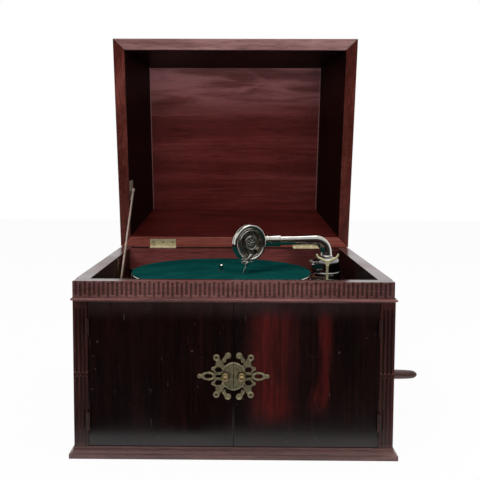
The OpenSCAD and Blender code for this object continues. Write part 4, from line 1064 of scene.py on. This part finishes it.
escutcheonLook = {
    "face": -195.0, "middle": 116.0, "thick": 1.8, "edge": 0.3,
    "plate": (17.0, 19.7), "border": 1.0, "screw": (23.6, 25.8), "screwSize": 0.62,
    # above and below the middle: discs with x, height, radius and dome, rings with x, height,
    # radius, thickness and share of the plate's, bars with both ends and their widths there
    "pairs": [
        ("disc", "ear", 23.6, 25.8, 4.6, 0.0),
        ("ring", "earRing", 23.6, 25.8, 3.6, 0.55, 1.0),
        ("bar", "limb", (11.0, 8.0), (23.6, 25.8), 8.6, 6.0),
        ("disc", "shoulder", 19.6, 17.6, 4.9, 0.0),
        ("disc", "curlBall", 7.4, 28.6, 3.1, 0.9),
        ("ring", "curlRing", 7.7, 28.6, 3.4, 1.1, 0.55),
        ("bar", "curlNeck", (11.1, 27.1), (13.0, 19.0), 2.6, 4.2),
        ("disc", "innerCurl", 13.6, 22.6, 2.2, 0.5),
        ("bar", "wing", (20.5, 16.5), (28.0, 10.2), 5.4, 3.0),
        ("disc", "spur", 28.0, 10.2, 2.6, 0.4),
        ("bar", "bridge", (13.0, 4.2), (24.5, 3.4), 4.0, 3.4),
        ("bar", "flank", (24.0, 4.2), (28.0, 10.2), 3.2, 2.6),
        ("disc", "loopBead", 33.5, 4.6, 1.9, 0.3),
    ],
    # on the middle line: a long ring, a disc and the bar between them
    "loop": (34.5, 4.6, 1.35), "loopLong": 8.0, "tip": (46.6, 3.1, 0.8),
    "tipNeck": (41.5, 3.2, 2.6),
    "grain": 0.32,      # voxel size that the parts are cast together at
}


def disc(name, x, y, r, thick, dome=0.0):
    piece = turned(name, 40, [(r, 0), (r, thick * 0.75), (r * 0.94, thick * 0.93),
                              (r * 0.8, thick + dome * 0.5), (r * 0.4, thick + dome)])
    return settle(piece, (x, y, 0))


def ringAround(name, x, y, r, thin, height, squash=(1, 1)):
    deselect()
    bpy.ops.mesh.primitive_torus_add(major_segments=48, minor_segments=12, major_radius=r * mm,
                                     minor_radius=thin * mm, location=(x * mm, y * mm, height * mm))
    piece = bpy.context.object
    piece.name = name
    return sized(piece, (*squash, 1))


def strut(name, start, end, wide, narrow, thick):
    # flat bar between two points, tapering from wide to narrow
    reach = math.dist(start, end)
    deselect()
    bpy.ops.mesh.primitive_cube_add(size=1)
    piece = bpy.context.object
    piece.name = name
    piece.location = (reach / 2 * mm, 0, thick / 2 * mm)
    sized(piece, (reach * mm, wide * mm, thick * mm))
    for polygon in piece.data.polygons:
        polygon.select = polygon.normal.x > squarely
    bpy.ops.object.mode_set(mode="EDIT")
    bpy.ops.mesh.select_mode(type="FACE")
    bpy.ops.transform.resize(value=(1, narrow / wide, 1), center_override=(reach * mm, 0, 0))
    bpy.ops.object.mode_set(mode="OBJECT")
    turn = math.degrees(math.atan2(end[1] - start[1], end[0] - start[0]))
    return settle(piece, (*start, 0), [("Z", turn)])


def halfEscutcheon(name, look):
    # all parts lie flat and right of the middle, are cast into one and cut at the doors' meeting
    thick, (wide, high) = look["thick"], look["plate"]
    deselect()
    bpy.ops.mesh.primitive_cylinder_add(vertices=96, radius=1.0, depth=thick * mm,
                                        location=(0, 0, thick / 2 * mm))
    plate = sized(bpy.context.object, (wide * mm, high * mm, 1))
    border = ringAround("border", 0, 0, 1.0, 0.052, 0)
    border.location = (0, 0, thick * mm)
    sized(border, (wide - look["border"], high - look["border"], 14))
    parts = [plate, border]
    for s in (-1, 1):
        for kind, label, *values in look["pairs"]:
            if kind == "bar":
                (x, y), (endX, endY), width, narrow = values
                parts.append(strut(label, (x, s * y), (endX, s * endY), width, narrow, thick))
                continue
            x, y, radius, *rest = values
            if kind == "disc":
                parts.append(disc(label, x, s * y, radius, thick, *rest))
            else:
                parts.append(ringAround(label, x, s * y, radius, rest[0], thick * rest[1]))
    x, radius, thin = look["loop"]
    squash = (look["loopLong"] / radius, 1.0)
    parts.append(ringAround("loop", x, 0, radius, thin, thick * 0.5, squash))
    tip, radius, dome = look["tip"]
    x, width, narrow = look["tipNeck"]
    parts.append(strut("tipNeck", (x, 0), (tip, 0), width, narrow, thick))
    parts.append(disc("tip", tip, 0, radius, thick, dome))
    plate = joined(name, parts)
    applied(plate, "REMESH", mode="VOXEL", voxel_size=look["grain"] * mm)
    cutAway(plate, block("cutter", (-60, -40, -4), (look["edge"], 40, 8)))
    cutAway(plate, block("cutter", (-60, -40, -4), (60, 40, 0)))
    applied(plate, "SMOOTH", factor=0.5, iterations=3)
    applied(plate, "DECIMATE", ratio=0.45)
    return smoothOver(plate)


def knobOn(name, side, look, knob):
    steps = [(4.4, 0), (4.4, 0.7), (3.7, 1.3), (2.5, 1.9), (2.2, 4.6)]
    steps += arcSteps((0, knob["centre"]), knob["radius"], -62, 84, 12)
    piece = turned(name, 48, steps)
    place = (side * knob["x"], look["face"] - look["thick"], look["middle"])
    return settle(piece, place, [("X", 90)])


def flipped(piece):
    sized(piece, (-1, 1, 1))
    bpy.ops.object.mode_set(mode="EDIT")
    bpy.ops.mesh.select_all(action="SELECT")
    bpy.ops.mesh.normals_make_consistent(inside=False)
    bpy.ops.object.mode_set(mode="OBJECT")


def addEscutcheons(look, knob):
    for side, name, body in ((1, "right", "right_door"), (-1, "left", "left_door")):
        plate = halfEscutcheon(name + "Plate", look)
        if side < 0:
            flipped(plate)
        settle(plate, (0, look["face"], look["middle"]), [("X", 90)])
        handOver(plate, "castBrass", body, "aged_brass", [name + "_escutcheon"])
        button = knobOn(name + "Knob", side, look, knob)
        handOver(button, "knobBrass", body, "aged_brass")
        x, rise = look["screw"]
        for s, label in ((-1, "Low"), (1, "High")):
            place = (side * x, look["face"] - look["thick"] + 0.1, look["middle"] + s * rise)
            screw = screwAt(name + "PlateScrew" + label, place, [("X", 90), ("Z", 35 * s * side)],
                            look["screwSize"])
            handOver(screw, "buttBrass", body, "aged_brass")


knobLook = {"x": 11.2, "radius": 5.1, "centre": 8.9}
addEscutcheons(escutcheonLook, knobLook)
print("escutcheons cast")


# soundbox, modelled flat with its face up, then stood at the arm's end

soundboxLook = {
    "place": (24.5, -7.3, 278.5), "turns": [("Z", 32), ("X", 90)],
    "radius": 30.0, "half": 6.5, "rim": 2.7, "inner": 24.4,
    "guard": 3.6, "medal": 11.6,
    "windows": {"count": 6, "inner": 13.6, "outer": 19.8, "arc": 38, "first": 71},
    "slits": {"count": 3, "inner": 21.5, "outer": 22.7, "arc": 98, "first": 46},
    "beads": 32, "petals": 8,
}


def atSoundbox(piece, look):
    return settle(piece, look["place"], look["turns"])


def soundboxCase(look):
    r, half, rim = look["radius"], look["half"], look["rim"]
    steps = [(6.9, -half), (13.0, -half), (13.4, -half + 0.7), (14.6, -half + 0.7),
             (15.0, -half + 0.1), (24.0, -half + 0.1), (24.4, -half + 0.8), (25.6, -half + 0.8),
             (26.0, -half + 0.2), (r - 1.6, -half + 0.2), (r - 0.5, -half + 0.7), (r, -half + 1.7),
             (r, -1.6), (r - 0.7, -1.1), (r - 0.7, -0.3), (r, 0.2)]
    steps += arcSteps((r - rim, half - rim), rim, 0, 180, 12)
    steps += [(look["inner"] + 0.1, half - rim - 0.6), (look["inner"], half - rim - 1.2),
              (look["inner"], -half + 2.1), (6.9, -half + 2.1), (6.9, -half)]
    piece = turned("soundboxCase", 96, steps, False)
    atSoundbox(piece, look)
    return handOver(piece, "nickel", "soundbox", "nickel", ["soundbox_shell"])


def kidney(name, inner, outer, degrees, low, high):
    # curved slot cutter: an upright plane spun about the middle
    deselect()
    bpy.ops.mesh.primitive_plane_add(size=1)
    bar = bpy.context.object
    bar.name = name
    bar.rotation_euler = (math.radians(90), 0, 0)
    bar.location = ((inner + outer) / 2 * mm, 0, (low + high) / 2 * mm)
    sized(bar, ((outer - inner) * mm, (high - low) * mm, 1))
    bpy.ops.object.mode_set(mode="EDIT")
    bpy.ops.mesh.select_all(action="SELECT")
    bpy.ops.mesh.spin(steps=12, angle=math.radians(degrees), center=(0, 0, 0), axis=(0, 0, 1))
    bpy.ops.mesh.select_all(action="SELECT")
    bpy.ops.mesh.normals_make_consistent(inside=False)
    bpy.ops.object.mode_set(mode="OBJECT")
    return bar


def soundboxGuard(look):
    z, inner = look["guard"], look["inner"] - 0.1
    guard = turned("guardDisc", 96, [
        (0.2, z), (inner, z), (inner, z + 1.0), (inner - 0.5, z + 1.3), (22.4, z + 1.1),
        (21.9, z + 0.7), (21.4, z + 0.7), (20.9, z + 1.5), (20.4, z + 1.9), (19.4, z + 1.9),
        (12.6, z + 1.7), (look["medal"] + 0.4, z + 1.2), (0.2, z + 1.2)])
    for cut in (look["windows"], look["slits"]):
        for i in range(cut["count"]):
            tool = kidney("window", cut["inner"], cut["outer"], cut["arc"], z - 2, z + 4)
            settle(tool, turns=[("Z", i * 360 / cut["count"] + cut["first"])])
            cutAway(guard, tool)
    slot = block("barSlot", (-2.7, -23.6, z - 2), (2.7, -10, z + 4))
    settle(slot, turns=[("Z", -8)])
    cutAway(guard, slot)
    eased(guard, 0.22, 40)
    atSoundbox(guard, look)
    return handOver(guard, "nickel", "soundbox", "nickel", ["soundbox_guard"])


def ball(name, segments, rings, radius, scale):
    deselect()
    bpy.ops.mesh.primitive_uv_sphere_add(segments=segments, ring_count=rings, radius=radius * mm)
    piece = bpy.context.object
    piece.name = name
    return sized(piece, scale)


def ringOf(master, count, radius, height, first=0, outwards=False):
    # copies in a ring in place of the master, and turned outwards if they have a long side
    copies = []
    for i in range(count):
        degrees = i * 360 / count + first
        angle = math.radians(degrees)
        place = (radius * math.cos(angle), radius * math.sin(angle), height)
        copies.append(copied(master, master.name, place, [("Z", degrees)] if outwards else ()))
    discard(master)
    return copies


def soundboxMedal(look):
    # plain medallion with a beaded edge and a generic rosette
    z, r = look["guard"] + 1.1, look["medal"]
    plate = turned("medalPlate", 64, [(r, z), (r, z + 1.3), (r - 0.5, z + 1.9), (r - 1.3, z + 1.9),
                                      (r - 1.8, z + 1.3), (r - 2.4, z + 1.1), (3.0, z + 1.35),
                                      (0.4, z + 1.4)])
    beads = ringOf(ball("bead", 12, 8, 0.55, (1, 1, 0.8)), look["beads"], r - 2.6, z + 1.25)
    petals = ringOf(ball("petal", 16, 10, 1.0, (2.6, 1.05, 0.7)), look["petals"],
                    4.6, z + 1.2, 10, True)
    boss = turned("boss", 24, [(2.2, 0), (2.1, 0.6), (1.4, 1.1), (0.3, 1.25)])
    settle(boss, (0, 0, z + 1.1))
    piece = smoothOver(joined("soundboxMedal", [plate] + beads + petals + [boss]))
    atSoundbox(piece, look)
    return handOver(piece, "medalNickel", "soundbox", "nickel")


needleLook = {
    "tip": (-19.32, -49.2, 9.98), "lean": -26.6, "radius": 0.8,
    "holderLow": 15.0, "holderTop": 36.5, "bore": (0.86, 12.0), "screwUp": 19.5,
    "barLean": -8.0, "barEnd": 20.5,
    "armRoot": (-8.2, -26.4, 7.4), "armLean": -16.4, "armTwist": 66,
    "footRing": 27.3, "footMiddle": -106.4, "footApart": 20,
}


def alongNeedle(piece, look, box):
    # pieces drawn with Z up the needle from its tip, placed in the soundbox's frame
    settle(piece, look["tip"], [("Z", look["lean"]), ("X", -90)])
    return atSoundbox(piece, box)


def needleHolder(look, box):
    # from the bore's blind end down, out round the mouth and up the outside
    low, top, (bore, deep) = look["holderLow"], look["holderTop"], look["bore"]
    steps = [(bore, low + deep), (bore, low), (1.7, low), (2.1, low + 0.5), (2.5, low + 2.2),
             (2.7, low + 4.5), (2.7, low + 6.5), (2.3, low + 7.2), (2.3, low + 8.0),
             (2.7, low + 8.6), (2.6, top - 6.0), (2.4, top - 2.5), (1.7, top - 0.6), (0.4, top)]
    return alongNeedle(turned("needleHolder", 40, steps), look, box)


def stylusBar(look, box):
    # bar from the diaphragm, out under the guard and up to the holder, with its two spring arms
    holder = needleHolder(look, box)
    bar = drawn("bar", 16, 1.7, [("go", 7, 1.55), ("go", 6, 1.35), ("go", look["barEnd"] - 13, 1.35),
                                 ("bend", "Z", 60, 2.6, 6, 1.4), ("go", 4.5, 1.5)])
    settle(bar, (0, 0, 1.6), [("Z", look["barLean"]), ("X", 90), ("Z", 90)])
    hub = turned("hub", 24, [(2.4, 0.6), (2.4, 2.6), (1.8, 3.4), (0.5, 3.6)])
    parts = [bar, hub]
    for side in (-1, 1):
        arm = drawn("springArm", 12, 0.75, [
            ("go", 3.0, 0.75), ("bend", "Y", 32 * side, 7, 6, 0.75), ("go", 2.2, 0.75),
            ("bend", "Y", -55 * side, 2.6, 6, 0.6), ("go", 0.8, 0.5)])
        turns = [("Z", look["armLean"]), ("X", 90), ("Y", look["armTwist"] * side)]
        settle(arm, look["armRoot"], turns)
        foot = turned("armFoot", 20, [(1.9, 0), (1.9, 0.7), (1.5, 1.2), (0.4, 1.35)])
        ring, angle = look["footRing"], math.radians(look["footMiddle"] + side * look["footApart"])
        settle(foot, (ring * math.cos(angle), ring * math.sin(angle), box["half"]))
        parts += [arm, foot]
    for part in parts:
        atSoundbox(part, box)
    piece = joined("stylusBar", [holder] + parts)
    return handOver(piece, "nickel", "soundbox", "nickel", ["stylus_bar"])


def butterfly(name, stud, lobe, web):
    # a turned stud with two looped wings, each a ring filled by a thin web
    parts = [stud]
    for side in (-1, 1):
        parts += [lobe(side), web(side)]
    return smoothOver(joined(name, parts))


def wingScrew(look, box):
    stud = turned("shank", 24, [(1.0, 0.9), (1.0, 4.6), (1.9, 5.0), (2.1, 6.0), (1.9, 7.0),
                                (1.3, 7.6), (0.4, 7.8)])

    def lobe(side):
        ring = ringAround("lobe", 0, 0, 1.35, 0.62, 0, (1.0, 1.15))
        return settle(ring, (side * 2.5, 0, 8.6), [("X", 90)])

    def web(side):
        plate = turned("web", 20, [(1.25, -0.35), (1.25, 0.35)])
        return settle(plate, (side * 2.5, 0, 8.6), [("X", 90)])

    piece = butterfly("wingScrew", stud, lobe, web)
    settle(piece, (0, 0, look["screwUp"]), [("Y", -90)])
    alongNeedle(piece, look, box)
    return handOver(piece, "nickel", "thumb_screw", "nickel", ["needle_screw"])


def needlePiece(look, box):
    r = look["radius"]
    steel = turned("playingNeedle", 24, [(0.06, 0), (0.30, 1.4), (r * 0.8, 4.4), (r, 6.0),
                                         (r, 13.0), (r, 26.0)])
    alongNeedle(steel, look, box)
    return handOver(steel, "steel", "soundbox", "steel", ["needle"])


soundboxCase(soundboxLook)
soundboxGuard(soundboxLook)
soundboxMedal(soundboxLook)
stylusBar(needleLook, soundboxLook)
wingScrew(needleLook, soundboxLook)
needlePiece(needleLook, soundboxLook)
print("soundbox assembled")


# tone arm: drawn in its own frame, X along the arm from the pivot, Z up

armLook = {
    "pivot": (157.5, 52.0, 278.5), "turn": -165.76, "length": 151.43, "neckTurn": 107.76,
    "behindBox": 19.5, "tube": 8.0, "collarLow": -29.2, "bend": 22.0,
    "sleeveFrom": 84.0, "sleeveTo": 106.0,
}


def inArmFrame(piece, look):
    return settle(piece, look["pivot"], [("Z", look["turn"])])


def toneArmTube(look):
    start, bend = look["collarLow"], look["bend"]
    moves = [("go", 1.0, 11.6), ("go", 0.5, 10.9), ("go", 0.7, 10.6), ("go", 1.6, 10.3),
             ("go", -start - bend - 3.8, 9.9), ("bend", "Y", 90, bend, 16, 8.5), ("go", 16, 8.2),
             ("go", 16, 8.02), ("go", look["sleeveFrom"] - bend - 31, look["tube"])]
    tube = drawn("toneArmTube", 48, 11.4, moves, 40)
    settle(tube, (0, 0, start))
    inArmFrame(tube, look)
    return handOver(tube, "nickel", "tonearm", "nickel", ["tone_arm"])


def armNeck(look):
    # sleeve that turns on the arm, and the hook that carries the soundbox
    a, b, tube = look["sleeveFrom"], look["sleeveTo"], look["tube"]
    reach = look["length"] - look["behindBox"]
    sleeve = turned("sleeve", 48, [
        (tube + 0.05, a), (10.0, a), (10.5, a + 0.5), (10.5, a + 2.0), (10.0, a + 2.5),
        (9.8, a + 3.2), (9.75, b - 1), (9.9, b - 0.6), (9.9, b + 0.8), (9.5, b + 1.6),
        (8.3, b + 4.6), (tube, b + 5.4), (tube, reach - 0.2)])
    settle(sleeve, turns=[("Y", 90)])
    radius = look["behindBox"] / math.tan(math.radians(look["neckTurn"] / 2))
    hook = drawn("hook", 48, tube, [("bend", "X", -look["neckTurn"], radius, 24, tube)], 40)
    settle(hook, (reach - 0.2, 0, 0), [("Y", 90)])
    piece = joined("armNeck", [sleeve, hook])
    inArmFrame(piece, look)
    return handOver(piece, "nickel", "soundbox", "nickel", ["soundbox_neck"])


toneArmTube(armLook)
armNeck(armLook)
print("tone arm drawn")


# base of the tone arm and the small fittings on the motor board

boardZ = 207.0
baseLook = {
    "place": (157.5, 52.0, boardZ), "hole": 10.2, "foot": 31.0, "cup": 24.2,
    "screws": {"ring": 28.6, "height": 2.3, "first": 200, "size": 0.62},
}


def armBase(look):
    hole, foot, cup = look["hole"], look["foot"], look["cup"]
    steps = [(hole, 0), (foot, 0), (foot, 1.4), (foot - 0.7, 2.3), (foot - 2.2, 2.7),
             (foot - 4.2, 3.0), (foot - 5.0, 3.8), (foot - 5.4, 5.0), (cup + 0.9, 5.6),
             (cup + 0.5, 6.6), (cup + 0.6, 11.4), (cup + 1.2, 12.1), (cup + 2.1, 12.6),
             (cup + 2.4, 13.4), (cup + 2.4, 15.2), (cup + 2.0, 16.0), (cup + 1.0, 16.6), (cup, 17.2)]
    steps += arcSteps((13, 30), 11, 0, 70, 8)[:-1]
    steps += [(15.2, 40.8), (13.6, 41.6), (13.0, 42.0), (hole, 42.0), (hole, 0)]
    base = turned("armBase", 80, steps, False)
    settle(base, look["place"])
    handOver(base, "darkNickel", "case", "nickel", ["tone_arm_base"])
    screws = look["screws"]
    x, y, z = look["place"]
    for i in range(3):
        angle = math.radians(i * 120 + screws["first"])
        place = (x + screws["ring"] * math.cos(angle), y + screws["ring"] * math.sin(angle),
                 z + screws["height"])
        screw = screwAt("baseScrew%d" % i, place, [("Z", 40 * i)], screws["size"])
        handOver(screw, "nickel", "case", "nickel")


wingLook = {"place": (138.5, 40.5, boardZ + 33.4), "turns": [("Z", 200), ("Y", 90), ("Z", 60)]}


def wingNut(look):
    # on the side of the base, it clamps the arm's bearing
    stud = turned("stud", 24, [(1.5, 0), (1.5, 3.4), (2.4, 3.8), (2.4, 5.6), (1.8, 6.2), (0.4, 6.4)])

    def lobe(side):
        ring = ringAround("lobe", side * 4.4, 0, 2.2, 0.95, 0)
        return settle(ring, (0, 0, 5.0), [("X", 90), ("Z", 14 * side)])

    def web(side):
        plate = turned("web", 24, [(2.0, -0.5), (2.0, 0.5)])
        return settle(plate, (side * 4.3, 0, 6.05), [("X", 90)])

    piece = butterfly("baseWing", stud, lobe, web)
    settle(piece, look["place"], look["turns"])
    return handOver(piece, "nickel", "case", "nickel")


forkLook = {"place": (145.0, -60.0, boardZ), "post": 1.9, "crotch": 46.0}


def armFork(look):
    r, top = look["post"], look["crotch"]
    parts = [turned("forkPost", 32, [
        (7.0, 0), (7.0, 0.8), (6.2, 1.6), (4.0, 2.0), (2.9, 2.6), (2.5, 4.2), (r, 5.2), (r, top - 5),
        (r + 0.5, top - 4.2), (r + 0.5, top - 3.4), (r, top - 2.6), (r + 0.3, top - 1.0),
        (r + 0.1, top)])]
    for side in (-1, 1):
        prong = drawn("prong", 20, 2.3, [
            ("bend", "Y", 64 * side, 5, 7, 2.1), ("go", 5.5, 1.9), ("go", 5.5, 1.75),
            ("bend", "Y", -44 * side, 6, 7, 1.6), ("go", 1.2, 1.6),
            ("bend", "Y", -30 * side, 3, 4, 1.5), ("go", 0.4, 0.9)])
        sized(prong, (1, 0.8, 1))
        settle(prong, (0, 0, top - 1.2))
        parts.append(prong)
    web = turned("crotch", 28, [(3.9, -1.6), (4.2, -0.9), (4.2, 0.9), (3.9, 1.6)])
    settle(web, (0, 0, top + 0.8), [("X", 90)])
    parts.append(web)
    fork = smoothOver(joined("armFork", parts))
    settle(fork, look["place"])
    return handOver(fork, "paleBrass", "case", "brass", ["arm_rest"])


cupLook = {"place": (181.0, 8.0, boardZ), "needles": 6,
           "back": 8.0, "apart": 0.35, "low": -6.2, "step": 0.3}


def needleCup(look):
    cup = turned("needleCup", 64, [
        (0.4, -9), (14.0, -9), (14.0, 0), (17.0, 0), (17.1, 1.0), (16.9, 2.4), (16.2, 3.6),
        (15.2, 4.6), (14.4, 5.0), (13.4, 4.8), (12.9, 4.0), (12.2, -5.2), (11.0, -6.4),
        (8.5, -7.1), (0.4, -7.5)])
    settle(cup, look["place"])
    handOver(cup, "nickel", "case", "nickel", ["needle_cup"])
    loose = turned("looseNeedle", 12, [(0.06, 0), (0.35, 1.6), (0.7, 4.5), (0.7, 16.0)])
    x, y, z = look["place"]
    for i in range(look["needles"]):
        shift, slant = ((i * 37) % 11 - 5) * look["apart"], i * 53      # strewn, the same each time
        turn = math.radians(slant)
        place = (x - look["back"] * math.cos(turn) + shift,
                 y - look["back"] * math.sin(turn) + shift,
                 z + look["low"] + look["step"] * (i % 3))
        needle = copied(loose, "cupNeedle%d" % i, place, [("Z", slant), ("Y", 90)])
        handOver(needle, "steel", "case", "steel")
    discard(loose)


armBase(baseLook)
wingNut(wingLook)
armFork(forkLook)
needleCup(cupLook)
print("board fittings turned")


# fittings, board, panel and bead: the CAD solids with their edges eased

otherPieces = [
    # piece, node, easing in mm, finish, body, slot
    ("brakeLever", "brake_lever", 0.5, "copper", "brake", "copper"),
    ("stayRod", "lid_stay", 0.5, "stayBrass", "stay", "brass"),
    ("stayBracket", "stay_bracket", 0.35, "stayBrass", "lid", "aged_brass"),
    ("stayGuide", "stay_guide", 0.35, "agedBrass", "case", "aged_brass"),
    ("caseHingeLeaves", "hinge_leaves_case", 0.25, "brightBrass", "case", "brass"),
    ("lidHingeLeaves", "hinge_leaves_lid", 0.25, "brightBrass", "lid", "brass"),
    ("crankPlate", "crank_escutcheon", 0.4, "agedBrass", "case", "aged_brass"),
    ("crankArm", "crank_arm", 0.9, "steel", "crank", "steel"),
    ("turntableDish", "platter", 0.35, "nickel", "turntable", "nickel"),
    ("speedKnob", "speed_regulator", 0.5, "nickel", "regulator", "nickel"),
    ("motorBoard", "motor_board", 0.6, "boardWood", "case", "mahogany"),
    ("lidPanel", "lid_panel", 0.8, "lidWood", "lid", "mahogany"),
    ("beadMoulding", "bead_moulding", 0.0, "beadWood", "case", "mahogany"),
]
easeNodes(otherPieces)

brakeLook = {"knob": (140.5, -22.7), "reach": 4.4, "above": 217.0}


def onBrakeKnob(point, normal):
    near = math.dist(point.xy, brakeLook["knob"]) < brakeLook["reach"]
    return near and point.z > brakeLook["above"]


def onLidTop(point, normal):
    return normal.y > 0.3


faceFinish(bpy.data.objects["brakeLever"], "nickel", onBrakeKnob)
faceFinish(bpy.data.objects["lidPanel"], "railWood", onLidTop)

screwRows = {"middle": 138.0, "apart": (-18.5, 0.0, 18.5), "row": 186.1,
             "leaf": 0.3, "sunk": 0.52, "size": 0.95}


def openLid(piece, hinge):
    y, z = hinge["axis"]
    pick(piece)
    piece.matrix_world = (Matrix.Translation((0, y * mm, z * mm))
                          @ Matrix.Rotation(math.radians(-hinge["open"]), 4, "X")
                          @ Matrix.Translation((0, -y * mm, -z * mm)))
    return fixPlace(piece)


def hingeScrews(look, hinge):
    # three in each leaf: the lid's are set as if it were shut, then opened with it
    count = 0
    middle, gap = hinge["axis"][1], look["leaf"] + look["sunk"]
    for side in (-1, 1):
        for shift in look["apart"]:
            x = side * look["middle"] + shift
            low = screwAt("caseLeafScrew%d" % count, (x, look["row"], middle - gap),
                          [("Z", 25 * count)], look["size"])
            handOver(low, "agedBrass", "case", "aged_brass")
            high = screwAt("lidLeafScrew%d" % count, (x, look["row"], middle + gap),
                           [("X", 180), ("Z", 50 * count)], look["size"])
            openLid(high, hinge)
            handOver(high, "agedBrass", "lid", "aged_brass")
            count += 1


gripLook = {"place": (231.3, 0.0, 59.0), "long": 68.0, "radius": 7.75}


def crankGrip(look):
    r, long = look["radius"], look["long"]
    steps = [(3.1, 3.0), (5.2, 3.0), (5.6, 3.4), (6.15, 5.0), (6.6, 9.0), (7.15, long / 4),
             (r - 0.2, long * 0.37), (r, long / 2), (r - 0.12, long * 0.62), (r - 0.3, long - 20),
             (r - 0.62, long - 12)]
    for degrees in range(6, 88, 9):
        angle = math.radians(degrees)
        steps.append(((r - 1) * math.cos(angle), long - 7 + 12 * math.sin(angle)))
    grip = turned("crankGrip", 56, steps)
    settle(grip, look["place"], [("Y", 90)])
    handOver(grip, "gripWood", "grip", "grip_wood", ["crank_grip"])
    cap = turned("gripFerrule", 48, [(3.1, 0), (5.4, 0), (6.0, 0.4), (6.1, 2.2), (5.8, 3.1),
                                     (3.1, 3.1), (3.1, 0)], False)
    settle(cap, look["place"], [("Y", 90)])
    handOver(cap, "darkNickel", "grip", "brass")


crankPlate = {"face": 222.0, "middle": 160.0, "ring": 13.0, "first": 90, "size": 0.7}


def crankPlateScrews(look):
    for i in range(3):
        angle = math.radians(i * 120 + look["first"])
        place = (look["face"], look["ring"] * math.cos(angle),
                 look["middle"] + look["ring"] * math.sin(angle))
        screw = screwAt("crankPlateScrew%d" % i, place, [("Y", 90), ("Z", 35 * i)], look["size"])
        handOver(screw, "agedBrass", "case", "aged_brass")


hingeScrews(screwRows, lidHinge)
crankGrip(gripLook)
crankPlateScrews(crankPlate)
discard(masterScrew)
print("fittings and screws in place")
